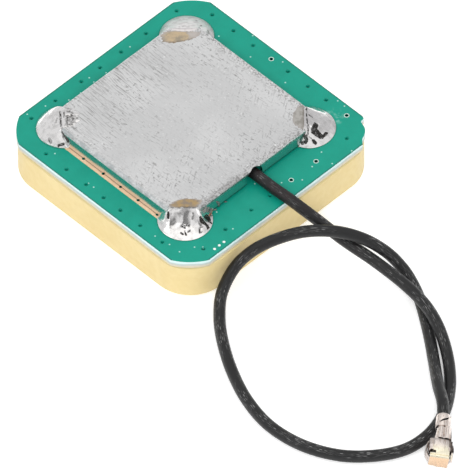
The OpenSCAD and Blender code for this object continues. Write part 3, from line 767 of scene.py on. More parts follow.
@dataclass(frozen=True)
class PlugFinish:
    """Flashed stamping: silvery crimps and ring, a pale gold flap, a folded front in a warmer gold darkened
    as painted shade, rub marks, and near-black painted shade in its hollows.
    """

    name: str = "flashed_bronze"
    silver: Colour = (0.775, 0.695, 0.65)
    pale_gold: Colour = (0.98, 0.91, 0.72)
    shaded_gold: Colour = (0.72, 0.52, 0.35)
    rubbed: Colour = (0.4, 0.3, 0.25)
    deep_shade: Colour = (0.05, 0.038, 0.034)
    turn: float = 50.0

    def make(self, effects: Effects) -> Material:
        """Returns the material."""
        finish = Finish(self.name, metallic=1.0)
        place, gilt = finish.place(), finish.attribute("gilt")
        patches = finish.span(finish.grain(place, 1500.0), 0.36, 0.64)
        along = finish.stretched(place, (1, 1, 1), self.turn)
        sizes = {"length": 1500.0, "fineness": 9000.0, "rarity": 0.56}
        rubs = finish.group(effects.strokes, vector=along, **sizes)["Mask"]
        colour = finish.blend(finish.span(gilt, 0.0, 1.0), self.silver, self.pale_gold)
        # The folded front's darker warm gold is painted shade on the same plating.
        colour = finish.blend(finish.span(gilt, 1.0, 2.0), colour, self.shaded_gold)
        # Values below 0 blend towards near black: painted deep shade at -1, painted shade on the shaded
        # flanks, and a darker tone on the collar and ring.
        colour = finish.blend(finish.span(gilt, -1.0, 0.0, 1.0, 0.0), colour, self.deep_shade)
        plain = finish.span(gilt, 0.0, 1.2, 0.6, 0.12)
        finish.set(base_color=finish.blend(rubs * plain, colour, self.rubbed))
        finish.set(roughness=finish.span(patches, 0.0, 1.0, 0.34, 0.22))
        return finish.set(normal=finish.bump(patches * plain - rubs, 9e-6))


@dataclass(frozen=True)
class FluxFinish:
    """Set flux: clouded resin, pale where it is thin, with a dark crease where it pulled off the metal,
    painted as shade.
    """

    name: str
    amber: Colour
    clouded: Colour
    crease: Colour = (0.09, 0.07, 0.05)
    pale: Colour = (0.43, 0.4, 0.385)

    def make(self, effects: Effects) -> Material:
        """Returns the material."""
        finish = Finish(self.name, roughness=0.34, coat_weight=0.2)
        cloud = finish.grain(finish.place(), 1700.0, 4.0, 0.6)
        colour = finish.blend(finish.span(cloud, 0.4, 0.62), self.amber, self.clouded)
        colour = finish.blend(finish.attribute("pale"), colour, self.pale)
        # The stored darkness here is painted shade in the crease along the film's rim.
        finish.set(base_color=finish.blend(finish.attribute("stain"), colour, self.crease))
        return finish.set(normal=finish.bump(cloud, 4e-5))


class Palette:
    """Every finish of the module, made once."""

    def __init__(self) -> None:
        """Makes the shared effects and the finishes."""
        plain, flux = SpeckledFinish, FluxFinish
        finishes = {
            "silver": plain("fired_silver", (0.86, 0.86, 0.84), (0.72, 0.72, 0.7), 0.42, 1.0, 3800.0),
            "pin_metal": plain("tinned_pin", (0.82, 0.76, 0.62), (0.7, 0.62, 0.46), 0.3, 1.0),
            "adhesive": plain("bond_film", (0.56, 0.46, 0.33), (0.48, 0.39, 0.28), 0.6),
            "gold_plating": plain("plated_gold", (0.97, 0.7, 0.47), (0.93, 0.63, 0.4), 0.36, 0.55, 3500.0),
            "filter_ceramic": plain("filter_body", (0.8, 0.74, 0.62), (0.7, 0.64, 0.52), 0.4),
            "moulding": plain("black_moulding", (0.03, 0.03, 0.032), (0.05, 0.05, 0.052), 0.55, scale=4200.0),
            "capacitor_body": plain("capacitor_ceramic", (0.5, 0.38, 0.25), (0.42, 0.3, 0.19), 0.45),
            "inductor_body": plain("inductor_winding", (0.45, 0.2, 0.09), (0.35, 0.15, 0.07), 0.35),
            "resistor_body": plain("resistor_glaze", (0.03, 0.03, 0.035), (0.05, 0.05, 0.06), 0.25),
            "braid": plain("silvered_braid", (0.8, 0.76, 0.7), (0.5, 0.47, 0.43), 0.35, 1.0, 5200.0, 2e-5),
            "dielectric": plain("white_dielectric", (0.86, 0.86, 0.84), (0.8, 0.8, 0.78), 0.35),
            "core": plain("silvered_core", (0.86, 0.82, 0.76), (0.72, 0.68, 0.62), 0.25, 1.0),
            # The insulator is made near black, as painted shade seen through the plug's gaps.
            "plug_insulator": plain("plug_insulator_shade", (0.05, 0.04, 0.034), (0.03, 0.025, 0.022), 0.5),
            "plug_contact": plain("contact_gold", (0.95, 0.72, 0.38), (0.86, 0.6, 0.28), 0.22, 1.0),
            "tented": plain("tented_rim", (0.004, 0.25, 0.18), (0.003, 0.19, 0.13), 0.36, specular=0.25),
            # The bare holes' walls are near black: painted shade inside the holes.
            "barrel": plain("hole_barrel_shade", (0.006, 0.05, 0.04), (0.004, 0.03, 0.025), 0.5, specular=0.2),
            "bare_rim": plain("tinned_rim", (0.8, 0.88, 0.82), (0.6, 0.72, 0.66), 0.35, 0.6),
            "silk": plain("white_print", (0.88, 0.9, 0.88), (0.8, 0.84, 0.82), 0.6),
            "ceramic": CeramicFinish(
                "fired_ceramic", (0.758, 0.616, 0.312), (0.728, 0.581, 0.282), scale=1700.0, specular=0.4
            ),
            "solder_mask": MaskFinish(
                "green_mask", (0.0058, 0.313, 0.226), (0.003, 0.216, 0.152), 0.36, 0.0, 900.0, 2e-6, 0.25
            ),
            "solder": SolderFinish(),
            "frosted_solder": SolderFinish(
                "frosted_solder", (0.73, 0.695, 0.695), (0.61, 0.575, 0.575), rough=(0.36, 0.5), depth=3e-5
            ),
            "board_edge": EdgeFinish(),
            "tinplate": TinplateFinish(),
            "jacket": JacketFinish(),
            "plug_bronze": PlugFinish(),
            "tan_flux": flux("tan_flux", (0.47, 0.36, 0.225), (0.285, 0.24, 0.175)),
            "brown_flux": flux("brown_flux", (0.36, 0.243, 0.105), (0.235, 0.185, 0.135)),
            "grey_flux": flux("grey_flux", (0.235, 0.222, 0.2), (0.36, 0.344, 0.322)),
            "pale_flux": flux("pale_flux", (0.46, 0.43, 0.41), (0.58, 0.55, 0.54)),
            "rust_flux": flux("rust_flux", (0.3, 0.1, 0.055), (0.2, 0.14, 0.1)),
            "sooty_flux": flux("sooty_flux", (0.07, 0.085, 0.075), (0.17, 0.175, 0.165)),
            # Near-black flux for the crumbs, partly a stand-in for shade in a wall end's slit.
            "burnt_flux": flux("burnt_flux", (0.035, 0.032, 0.03), (0.12, 0.115, 0.11)),
        }
        effects = Effects()
        self.by_slot: dict[str, Material] = {slot: finish.make(effects) for slot, finish in finishes.items()}

    def __getitem__(self, slot: str) -> Material:
        """Returns the finish for a slot."""
        return self.by_slot[slot]

    def dress_solids(self, nodes: dict[str, Object], record: dict[str, Any]) -> None:
        """Gives every solid that is carried over the finish of its slot."""
        for part in record["subparts"]:
            solid = nodes[part["node"]]
            solid.data.materials.clear()
            solid.data.materials.append(self[part["material_slot"]])


@dataclass(frozen=True)
class Glow:
    """A soft patch of the surround: the way to it, where its edge starts and ends, its share and its tone."""

    way: Point3
    edge: Point2
    share: float
    tone: Colour


@dataclass(frozen=True)
class Lamp:
    """A wide round lamp: its place, width and power, and whether metal mirrors it."""

    name: str
    place: Point3
    width: float
    power: float
    mirrored: bool = True

    def hang(self, aim: Point3) -> None:
        """Puts the lamp in the scene, facing its aim."""
        data = bpy.data.lights.new(self.name, "AREA")
        data.shape = "DISK"
        data.size = self.width
        data.energy = self.power
        lamp = linked(self.name, data)
        lamp.location = self.place
        lamp.visible_glossy = self.mirrored
        lamp.rotation_euler = (Vector(aim) - Vector(self.place)).to_track_quat("-Z", "Y").to_euler()


@dataclass
class Studio:
    """Camera, light and floor: a pale surround, brighter above and aside, with two dark flags."""

    azimuth: float = 45.549
    elevation: float = 48.967
    roll: float = -0.421
    distance: float = 1.388435
    focus: float = 15000.0
    picture: float = 470.0
    sensor: float = 36.0
    clip: Point2 = (0.01, 20.0)
    aim: Point3 = (0.0, 0.0, 0.005)
    aim_pixel: Point2 = (190.83, 130.252)
    surround: Colour = (0.79, 0.795, 0.8)
    glows: tuple[Glow, ...] = (
        Glow((0.0, 0.0, 1.0), (0.78, 0.95), 1.0, (1.2, 1.19, 1.17)),
        Glow((0.93, -0.3, 0.2), (0.3, 0.9), 0.12, (1.42, 1.41, 1.39)),
        Glow((0.0, 0.932, 0.362), (0.93, 0.975), 1.0, (0.58, 0.58, 0.59)),
        Glow((0.469, -0.46, 0.754), (0.955, 0.985), 0.85, (0.05, 0.05, 0.05)),
    )
    lamps: tuple[Lamp, ...] = (
        Lamp("key_lamp", (-0.2, -0.6, 0.7), 0.6, 0.9),
        Lamp("fill_lamp", (0.7, -0.2, 0.45), 1.0, 0.1),
        Lamp("front_lamp", (0.5, -0.42, 0.6), 0.3, 2.9, mirrored=False),
    )
    lamp_aim: Point3 = (0.01, 0, 0)
    floor_half: float = 2.0
    floor_level: float = -0.00002
    floor_tone: tuple[float, ...] = (0.9, 0.9, 0.9, 1)
    floor_lift: Point2 = (0.12, 0.23)

    def place_camera(self) -> None:
        """Puts the camera where the photograph was taken from."""
        a, e, r = (math.radians(v) for v in (self.azimuth, self.elevation, self.roll))
        back = Vector((math.sin(a) * math.cos(e), -math.cos(a) * math.cos(e), math.sin(e)))
        right = Vector((math.cos(a), math.sin(a), 0))
        up = back.cross(right)
        right, up = right * math.cos(r) + up * math.sin(r), up * math.cos(r) - right * math.sin(r)
        middle = self.picture / 2
        aside = (self.aim_pixel[0] - middle) * self.distance / self.focus
        above = (middle - self.aim_pixel[1]) * self.distance / self.focus
        data = bpy.data.cameras.new("camera")
        data.sensor_width = self.sensor
        data.lens = self.focus * data.sensor_width / self.picture
        data.clip_start, data.clip_end = self.clip
        camera = linked("camera", data)
        eye = Vector(self.aim) - right * aside - up * above + back * self.distance
        camera.matrix_world = Matrix.Translation(eye) @ Matrix((right, up, back)).transposed().to_4x4()
        bpy.context.scene.camera = camera

    def light(self) -> None:
        """Makes the soft studio light: the surround with its glows, and the lamps."""
        scene = bpy.context.scene
        scene.view_settings.view_transform = "Standard"
        world = bpy.data.worlds.new("studio")
        world.use_nodes = True
        world.node_tree.nodes.clear()
        scene.world = world
        recipe = Recipe(world.node_tree)
        way = recipe.out("Generated", "ShaderNodeTexCoord")
        tone: Feed = self.surround
        for glow in self.glows:
            seen = recipe.span(recipe.vector("DOT_PRODUCT", way, glow.way), *glow.edge, 0.0, glow.share)
            tone = recipe.blend(seen, tone, glow.tone)
        lit = recipe.out(0, "ShaderNodeBackground", {"Color": tone, "Strength": 1.0})
        recipe.add("ShaderNodeOutputWorld", {"Surface": lit})
        for lamp in self.lamps:
            lamp.hang(self.lamp_aim)

    def lay_floor(self) -> None:
        """Makes the plain pale floor, which shows white and keeps the shadow."""
        half = self.floor_half
        corners = [(-half, -half, 0), (half, -half, 0), (half, half, 0), (-half, half, 0)]
        floor = linked("floor", meshed("floor", corners, [(0, 1, 2, 3)], 1.0))
        floor.location.z = self.floor_level
        material = bpy.data.materials.new("pale_floor")
        material.use_nodes = True
        material.node_tree.nodes.clear()
        recipe = Recipe(material.node_tree)
        matte = recipe.out(0, "ShaderNodeBsdfDiffuse", {"Color": self.floor_tone})
        path = recipe.add("ShaderNodeLightPath").outputs
        seen = recipe.sum("MAXIMUM", path["Is Camera Ray"], path["Is Glossy Ray"])
        always, when_seen = self.floor_lift
        lift = recipe.out(0, "ShaderNodeEmission", {"Strength": seen * when_seen + always})
        both = recipe.out(0, "ShaderNodeAddShader", {0: matte, 1: lift})
        recipe.add("ShaderNodeOutputMaterial", {"Surface": both})
        floor.data.materials.append(material)


@dataclass
class Plug:
    """Stamped micro coax plug: two crimps, a neck with ears, a hook, a slit flap with a folded front, a ring.

    The mouth is half of the ring's opening in degrees, the skew the slant of the front's foot, and the last
    four values are places on the plating's colour scale: painted deep shade inside the ring, painted shade
    beside the flap and the crimp and under the neck, and darker tones for the collar and the ring.
    """

    at: Point3 = (39.1, -6.3, 1.95)
    roll: float = -8.0
    pitch: float = 11.0
    yaw: float = -50.0
    sheet: float = 0.15
    jacket_end: float = 1.32
    jacket_radius: float = 0.565
    seam_turns: Point2 = (85.0, -67.0)
    braid_start: float = 1.29
    braid_end: float = 2.57
    braid_radius: float = 0.45
    braid_half: Point2 = (0.66, 0.76)
    braid_side: float = 0.22
    neck_start: float = 2.76
    flap_top: float = 0.75
    flap_left: float = -0.9
    flap_right: float = 0.87
    bend: float = 0.3
    front: float = 4.81
    front_foot: float = -0.88
    slit: Point2 = (4.04, 4.31)
    slit_end: float = -0.38
    ring_x: float = 3.49
    ring_radius: float = 1.3
    ring_foot: float = -1.0
    ring_top: float = -0.05
    mouth: float = 21.0
    skew: float = 0.13
    deep_shade: float = -1.0
    shaded: float = -0.88
    collar: float = -0.42
    ring_tone: float = -0.34

    def _jacket_crimp(self) -> Shell:
        """Returns the rear crimp, whose wings lap over each other along a slanting seam on top."""
        rows, turns = 19, 49
        grids: tuple[Grid, Grid] = ([], [])
        for r in range(rows):
            share = r / (rows - 1)
            seam = math.radians(mixed(*self.seam_turns, share))
            gap = math.radians(1.0 + 19.0 * mound(share, 0.55, 0.17))
            flare = 0.02 * eased(share, 0.9, 1.0) - 0.06 * (1 - eased(share, 0.0, 0.14))
            for grid, base in zip(grids, (self.jacket_radius + 0.12, self.jacket_radius + 0.01)):
                row: list[Point3] = []
                for k in range(turns):
                    angle = seam + gap + (2 * math.pi - 2 * gap) * k / (turns - 1)
                    wing = k / (turns - 1)
                    lap = 0.07 * math.exp(-8.0 * wing) - 0.03 * math.exp(-8.0 * (1 - wing))
                    dent = 0.02 * noise.noise(Vector((share * 4, math.cos(angle) * 2, math.sin(angle) * 2)))
                    radius = base + lap + flare + dent
                    x = share * self.jacket_end
                    row.append((x, 0.07 + radius * math.sin(angle), radius * math.cos(angle)))
                grid.append(row)
        return skinned(*grids)

    def _braid_crimp(self) -> Shell:
        """Returns the front crimp: two rolled wings that meet in a groove on top."""
        rows, turns = 17, 56
        grids: tuple[Grid, Grid] = ([], [])
        for r in range(rows):
            share = r / (rows - 1)
            x = mixed(self.braid_start, self.braid_end, share)
            half = mixed(*self.braid_half, eased(share, 0.0, 0.8))
            pinch = 1 - 0.1 * math.sin(math.pi * share)
            outer: list[Point3] = []
            inner: list[Point3] = []
            for k in range(turns):
                angle = 2 * math.pi * k / turns
                sy, cz = math.sin(angle), math.cos(angle)
                y = half * math.copysign(abs(sy) ** 0.75, sy)
                z = (self.braid_radius + self.sheet) * pinch * math.copysign(abs(cz) ** 0.75, cz)
                if z > 0:
                    z += 0.16 * mound(abs(y), 0.34, 0.2) * math.sin(math.pi * mixed(0.15, 0.85, share))
                    z -= 0.1 * mound(y, 0.0, 0.09)
                z += 0.02 * noise.noise(Vector((x * 3, y * 3, z * 2)))
                outer.append((x, y + self.braid_side, z))
                inner.append((x, self.braid_radius * sy + 0.1, self.braid_radius * cz))
            grids[0].append(outer)
            grids[1].append(inner)
        return skinned(*grids, closed=True)

    def _slab(self, outline: Sequence[Point2], top: float) -> Shell:
        """Returns a flat piece of the sheet, from its outline and the level of its top."""
        points = [(x, y, z) for z in (top, top - self.sheet) for x, y in outline]
        return points, prism_faces(len(outline))

    def _swept(self, profile: Sequence[Point2], ends: Point2, across: bool) -> Shell:
        """Returns the sheet bent along a profile and as wide as its ends are apart.

        Args:
            profile: Points of the outer side: X and Z, or Y and Z where it lies across.
            ends: Where the sheet starts and ends across the profile.
            across: Whether the profile lies across the plug.

        Returns:
            The bent sheet.
        """
        line = [Vector(p) for p in profile]
        outer: Grid = []
        inner: Grid = []
        spread = [mixed(*ends, c / 6) for c in range(7)]
        for k, point in enumerate(line):
            way = (line[min(k + 1, len(line) - 1)] - line[max(k - 1, 0)]).normalized()
            deep = point + Vector((way.y, -way.x)) * self.sheet
            for grid, spot in ((outer, point), (inner, deep)):
                grid.append([(e, spot.x, spot.y) if across else (spot.x, e, spot.y) for e in spread])
        return skinned(outer, inner)

    def _bent(self, start: Point2, corner: Point2, end: Point2, radius: float) -> list[Point2]:
        """Returns a line from start to end whose corner is rounded."""
        a, m, b = Vector(start), Vector(corner), Vector(end)
        first, last = m + (a - m).normalized() * radius, m + (b - m).normalized() * radius
        curve = [first * (1 - t) ** 2 + m * 2 * t * (1 - t) + last * t * t for t in (k / 8 for k in range(9))]
        return [start, *(tuple(p) for p in curve), end]

    def _ring(self) -> Shell:
        """Returns the snap ring, with a rolled rim, a groove and an open mouth at its rear."""
        grids: tuple[Grid, Grid] = ([], [])
        foot, top = self.ring_foot, self.ring_top
        levels = [mixed(foot, top, k / 12) for k in range(13)]
        for k in range(73):
            turn = math.radians(mixed(self.mouth - 180, 180 - self.mouth, k / 72))
            for grid, radius in zip(grids, (self.ring_radius, self.ring_radius - self.sheet)):
                row: list[Point3] = []
                for z in levels:
                    groove = 0.05 * mound(z, mixed(foot, top, 0.45), 0.12)
                    r = radius - groove
                    row.append((self.ring_x + r * math.cos(turn), r * math.sin(turn), z))
                grid.append(row)
        return skinned(*grids)

    def _shells(self) -> list[Shell]:
        """Returns the crimps, flap, folded front, ears, hook, the sheet between, a sheet under the neck and a
        dark disc inside the ring that carry painted shade, and the ring.
        """
        top, left, right = self.flap_top, self.flap_left, self.flap_right
        neck, slit, end = self.neck_start, self.slit, self.front - self.bend
        flap = [(neck, -0.62), (slit[0], -0.62), (slit[0], self.slit_end), (slit[1], self.slit_end)]
        flap += [(slit[1], left), (end, left), (end, right), (slit[0], right)]
        flap += [(slit[0] - 0.1, right - 0.12), (neck + 0.1, right - 0.2)]
        front = self._bent((end, top), (self.front, top), (self.front, self.front_foot), self.bend)
        left_ear = self._bent((-0.56, top + 0.03), (left - 0.12, top + 0.03), (left - 0.12, -0.3), 0.2)
        right_ear = self._bent((right + 0.2, -0.3), (right + 0.2, top - 0.1), (right - 0.3, top - 0.1), 0.12)
        hook = self._bent((right + 0.34, -0.12), (right + 0.34, 0.38), (right + 0.14, 0.38), 0.1)
        return [
            self._jacket_crimp(),
            self._braid_crimp(),
            self._slab([(0.5, -0.3), (neck + 0.4, -0.3), (neck + 0.4, 0.3), (0.5, 0.3)], -0.52),
            self._slab(flap, top),
            self._swept(front, (left, right), across=False),
            self._swept(left_ear[::-1], (neck + 0.08, slit[0] - 0.07), across=True),
            self._swept(right_ear[::-1], (neck + 0.14, 3.9), across=True),
            self._swept(hook[::-1], (3.86, 4.62), across=True),
            self._slab([(2.45, -0.6), (neck + 0.1, -0.6), (neck + 0.1, -0.26), (2.45, -0.32)], 0.64),
            # A sheet under the neck that carries painted shade in the gap there.
            self._slab([(2.5, -0.5), (neck + 0.2, -0.5), (neck + 0.2, 0.9), (2.5, 0.9)], 0.4),
            # A disc painted as deep shade inside the ring.
            self._slab(round_loop(self.ring_x, 0.0, self.ring_radius - 0.17, 40), 0.2),
            self._ring(),
        ]

    def _gilt(self, x: float, y: float, z: float) -> float:
        """Returns a place's colour on the plating's scale: -1 is painted deep shade, 0 silver, 1 pale gold
        and 2 warm gold darkened as painted shade.
        """
        top, right, neck, end = self.flap_top, self.flap_right, self.neck_start, self.front - self.bend
        in_ring = math.hypot(x - self.ring_x, y) < self.ring_radius - 0.1
        # Painted deep shade inside the ring.
        if in_ring and z < 0.42 and x < self.front - 0.2:
            return self.deep_shade
        # Painted shade beside the flap, beside the crimp and under the neck.
        beside_flap = y > right - 0.06 and 2.7 < x < 3.92 and z < top - 0.03
        beside_crimp = y > 0.84 and 1.2 < x < 2.7
        under_neck = 2.46 < x < neck + 0.22 and 0.2 < z < 0.42
        if beside_flap or beside_crimp or under_neck:
            return self.shaded
        if z > 0.5 and 2.7 < x < 3.42:
            return self.collar
        if z < -0.02 and x < self.front - 0.16:
            return self.ring_tone
        if y < -0.6 and x < self.slit[0] - 0.02:
            return 0.0
        # Painted shade: the folded front is given a darker, warmer gold.
        front_shade = eased(top - z, 0.03, 0.15) * eased(x, end, end + 0.12) * (y < right + 0.05)
        return eased(x, 3.42, 3.6) * (1 - 0.6 * eased(top - z, 0.2, 0.5) * (1 - front_shade)) + front_shade

    def build(self, palette: Palette) -> Object:
        """Makes the stamping, breaks its edges and puts it on the lead's end.

        Args:
            palette: The finishes.

        Returns:
            The stamping.
        """
        holder = shaped("plug_blank", joined(self._shells()))
        corner = math.radians(50)
        modified(holder, "BEVEL", width=0.028 * MM, segments=2, limit_method="ANGLE", angle_limit=corner)
        piece = settled("plug_stamping", flattened("plug_stamping", holder), 40.0)
        gilt = piece.data.attributes.new("gilt", "FLOAT", "POINT")
        for k, vert in enumerate(piece.data.vertices):
            x, y, z = (v / MM for v in vert.co)
            gilt.data[k].value = self._gilt(x, y, z)
            if x > self.front - 0.2 and z < 0.3:
                vert.co.z -= self.skew * y * eased(0.3 - z, 0.0, 1.0) * MM
        place = Matrix.Translation(Vector(self.at) * MM)
        for angle, axis in ((self.yaw, "Z"), (self.pitch, "Y"), (self.roll, "X")):
            place = place @ Matrix.Rotation(math.radians(angle), 4, axis)
        piece.data.transform(place)
        return dressed(piece, palette["plug_bronze"], "plug_bronze", "plug_shell")


@dataclass
class Lead:
    """Thin coaxial lead from the can to the plug.

    The swell is how much its thickness varies, and unroll how many millimetres make one step of its
    length coordinate.
    """

    diameter: float = 1.13
    length: float = 0.1082
    sides: int = 28
    step: float = 0.2
    swell: float = 0.008
    unroll: float = 100.0
    plug_way: Point3 = (0.631, -0.752, -0.191)

    def path(self) -> list[Vector]:
        """Returns close points along one smooth curve through the route, in millimetres."""
        route = [Vector(p) for p in ROUTE]
        slopes = [(b - a) / ((b - m).length + (m - a).length) for a, m, b in zip(route, route[1:], route[2:])]
        slopes = [Vector((1, 0, 0)), *slopes, Vector(self.plug_way)]
        points: list[Vector] = []
        for a, b, sa, sb in zip(route, route[1:], slopes, slopes[1:]):
            gap = (b - a).length
            count = max(2, round(gap / self.step))
            for k in range(count):
                t = k / count
                points.append(
                    a * (1 + 2 * t) * (1 - t) ** 2
                    + sa * gap * t * (1 - t) ** 2
                    + b * t * t * (3 - 2 * t)
                    + sb * gap * t * t * (t - 1)
                )
        return [*points, route[-1]]

    def build(self, palette: Palette, plug: Object) -> Object:
        """Args:
            palette: The finishes.
            plug: The stamping on the lead's end; not used.

        Returns:
            The jacket.
        """
        path = self.path()
        ways = [(b - a).normalized() for a, b in zip([path[0], *path[:-1]], [*path[1:], path[-1]])]
        points: list[Point3] = []
        run = 0.0
        runs: list[float] = []
        for k, (point, way) in enumerate(zip(path, ways)):
            run += (point - path[k - 1]).length if k else 0.0
            runs.append(run)
            across = way.cross(Vector((0, 0, 1))).normalized()
            over = across.cross(way)
            for s in range(self.sides):
                turn = 2 * math.pi * s / self.sides
                swell = 1 + self.swell * noise.noise(Vector((run * 0.9, math.cos(turn), math.sin(turn))))
                spoke = across * math.cos(turn) + over * math.sin(turn)
                points.append(tuple(point + spoke * (self.diameter / 2 * swell)))
        faces = grid_faces(len(path), self.sides, closed=True)
        faces += [tuple(reversed(range(self.sides))), tuple(range(len(points) - self.sides, len(points)))]
        mesh = meshed("lead_jacket", points, faces)
        unrolled = mesh.uv_layers.new(name="unrolled")
        for polygon in mesh.polygons:
            columns = [mesh.loops[k].vertex_index % self.sides for k in polygon.loop_indices]
            wraps = max(columns) - min(columns) > self.sides / 2
            for k, column in zip(polygon.loop_indices, columns):
                turn = column + (self.sides if wraps and column < self.sides / 2 else 0)
                along = runs[mesh.loops[k].vertex_index // self.sides]
                unrolled.data[k].uv = (along / self.unroll, turn / self.sides)
        piece = settled("lead_jacket", mesh, 60.0)
        dressed(piece, palette["jacket"], "jacket", "coax_lead")
        [tuple(p * MM) for p in path]
        log.info("lead is %.2f mm long", run)
        return piece


@dataclass
class Board:
    """Amplifier board: green mask, pale cut edge, plated holes and printed dots."""

    side: float = 25.0
    cut: float = 2.5
    bow: float = 6.0
    via_radius: float = 0.15
    feed: Point2 = (-2.2, 0.0)
    feed_radius: float = 0.45
    left_x: float = -11.5
    right_x: float = 10.9
    row_y: float = 11.5
    side_row: tuple[float, ...] = (9.5, 5.5, 2.25, -0.5, -2.95, -6.3, -9.4)
    front_row: tuple[float, ...] = (-7.4, -4.7, -2.1, 0.2, 2.4, 5.0, 7.9)
    back_row: tuple[float, ...] = (-8.8, -6.0, -3.4, -1.0, 1.2, 3.8, 6.2, 8.9)
    strip_row: tuple[float, ...] = (-4.5, -1.9, 0.4, 2.7, 5.2)
    strip_y: float = -9.5
    bare: tuple[Point2, ...] = ((-1.0, 11.5), (8.9, 11.5), (10.9, 5.5), (10.9, 2.25))
    torn: tuple[float, ...] = (0.0, -0.05, 0.34, 0.22, 0.1, 0.03, 0.02, 0.05, 0.12, 0.2, 0.08, 0.0)
    tented_rim: Point2 = (0.2, 0.04)
    bare_rim: Point2 = (0.22, 0.05)
    near_hole: float = 0.247
    edge_from: float = 9.8
    dot_radius: float = 0.13
    print_dots: tuple[Point2, ...] = ((11.9, -8.69), (11.9, -8.07), (11.9, -7.47))

    def vias(self) -> list[Point2]:
        """Returns the places of the plated holes near the edges."""
        last = len(self.side_row) - 1
        return (
            [(self.left_x, y) for y in self.side_row]
            + [(self.right_x + (0.25 if k == last else 0.0), y) for k, y in enumerate(self.side_row)]
            + [(x, -self.row_y) for x in self.front_row]
            + [(x, self.row_y) for x in self.back_row]
        )

    def outline(self) -> list[Point2]:
        """Returns the board's outline, with bowed corners and one corner torn where it was broken out."""
        half = self.side / 2
        middle = half - self.cut / 2 - math.sqrt((self.bow**2 - self.cut**2 / 2) / 2)
        reach = math.atan2(half - self.cut - middle, half - middle)
        points: list[Point2] = []
        for turn in range(4):
            count = 24 if turn == 0 else 12
            for k in range(count + 1):
                angle = mixed(reach, math.pi / 2 - reach, k / count)
                radius = self.bow
                if turn == 0:
                    along = (1 - k / count) * (len(self.torn) - 1)
                    near = min(int(along), len(self.torn) - 2)
                    radius -= mixed(self.torn[near], self.torn[near + 1], along - near)
                    radius -= 0.05 * abs(ripple(k * 1.7, 0, 2.0, 4.0))
                x, y = middle + radius * math.cos(angle), middle + radius * math.sin(angle)
                points.append(turned(min(x, half), min(y, half), turn))
        return points

    def build(self, palette: Palette) -> None:
        """Makes the board, its printed dots and the rims of its holes."""
        holes = [round_loop(x, y, self.via_radius, 16) for x, y in self.vias()]
        holes += [round_loop(x, self.strip_y, self.via_radius, 16) for x in self.strip_row]
        holes.append(round_loop(*self.feed, self.feed_radius, 24))
        board = plate("board_blank", [self.outline(), *holes], BOARD_FOOT, BOARD_TOP, 0.03)
        for slot in ("solder_mask", "board_edge", "barrel"):
            board.data.materials.append(palette[slot])
        for face in board.data.polygons:
            if abs(face.normal.z) < 0.9:
                face.material_index = self._side_finish(face.center.x / MM, face.center.y / MM)
        dressed(board, palette["solder_mask"], "solder_mask", "circuit_board")
        tented = [v for v in self.vias() if v not in self.bare]
        self._rims("tented_rims", tented, *self.tented_rim, palette["tented"])
        self._rims("bare_rims", self.bare, *self.bare_rim, palette["bare_rim"])
        loops = [round_loop(x, y, self.dot_radius, 20) for x, y in self.print_dots]
        dots = plate("printed_dots", loops, BOARD_TOP - 0.01, BOARD_TOP + 0.015, 0.004)
        dressed(dots, palette["silk"], "solder_mask")

    def _side_finish(self, x: float, y: float) -> int:
        """Returns an upright face's finish: 1 on the cut edge, 2 in a bare hole, whose wall is painted dark
        as shade, and 0 in the other holes.
        """
        if any(math.dist((x, y), spot) < self.near_hole for spot in self.bare):
            return 2
        in_hole = any(math.dist((x, y), spot) < self.near_hole for spot in self.vias())
        return 1 if max(abs(x), abs(y)) > self.edge_from and not in_hole else 0

    def _rims(
        self, name: str, places: Sequence[Point2], radius: float, section: float, material: Material
    ) -> None:
        """Makes a rim round each of these holes with one node tree.

        Args:
            name: Name of the piece.
            places: Middles of the holes, in millimetres.
            radius: Radius of a rim's ring, in millimetres.
            section: Radius of its section, in millimetres.
            material: Its finish.
        """
        tree = bpy.data.node_groups.new(name + "_field", "GeometryNodeTree")
        face = tree.interface
        face.new_socket("Geometry", in_out="INPUT", socket_type="NodeSocketGeometry")
        sizes = {"Rim Radius": radius * MM, "Rim Section": section * MM}
        keys = {}
        for key, value in sizes.items():
            socket = face.new_socket(key, in_out="INPUT", socket_type="NodeSocketFloat")
            socket.default_value = value
            keys[key] = socket.identifier
        finish = face.new_socket("Finish", in_out="INPUT", socket_type="NodeSocketMaterial")
        face.new_socket("Geometry", in_out="OUTPUT", socket_type="NodeSocketGeometry")
        recipe = Recipe(tree)
        given, taken = recipe.add("NodeGroupInput").outputs, recipe.add("NodeGroupOutput")
        ring, outline = (
            recipe.out(0, "GeometryNodeCurvePrimitiveCircle", {"Resolution": count, "Radius": given[key]})
            for key, count in (("Rim Radius", 24), ("Rim Section", 10))
        )
        rim = recipe.out(0, "GeometryNodeCurveToMesh", {"Curve": ring, "Profile Curve": outline})
        spread = recipe.out(0, "GeometryNodeInstanceOnPoints", {"Points": given[0], "Instance": rim})
        real = recipe.out(0, "GeometryNodeRealizeInstances", {0: spread})
        feeds = {"Geometry": real, "Material": given["Finish"]}
        recipe.feed(taken, 0, recipe.out(0, "GeometryNodeSetMaterial", feeds))
        level = BOARD_TOP - section * 0.62
        holder = linked(name, meshed(name, [(x, y, level) for x, y in places], []))
        rims = holder.modifiers.new("rims", "NODES")
        rims.node_group = tree
        for key, value in sizes.items():
            rims[keys[key]] = value
        rims[finish.identifier] = material
        dressed(settled(name, flattened(name, holder), 80.0), material, "solder_mask")


def off_line(x: float, y: float, a: Point2, b: Point2) -> float:
    """Returns how far a place lies from the line between two ends."""
    (ax, ay), (bx, by) = a, b
    run = (bx - ax) ** 2 + (by - ay) ** 2
    share = min(1.0, max(0.0, ((x - ax) * (bx - ax) + (y - ay) * (by - ay)) / run))
    return math.dist((x, y), (mixed(ax, bx, share), mixed(ay, by, share)))


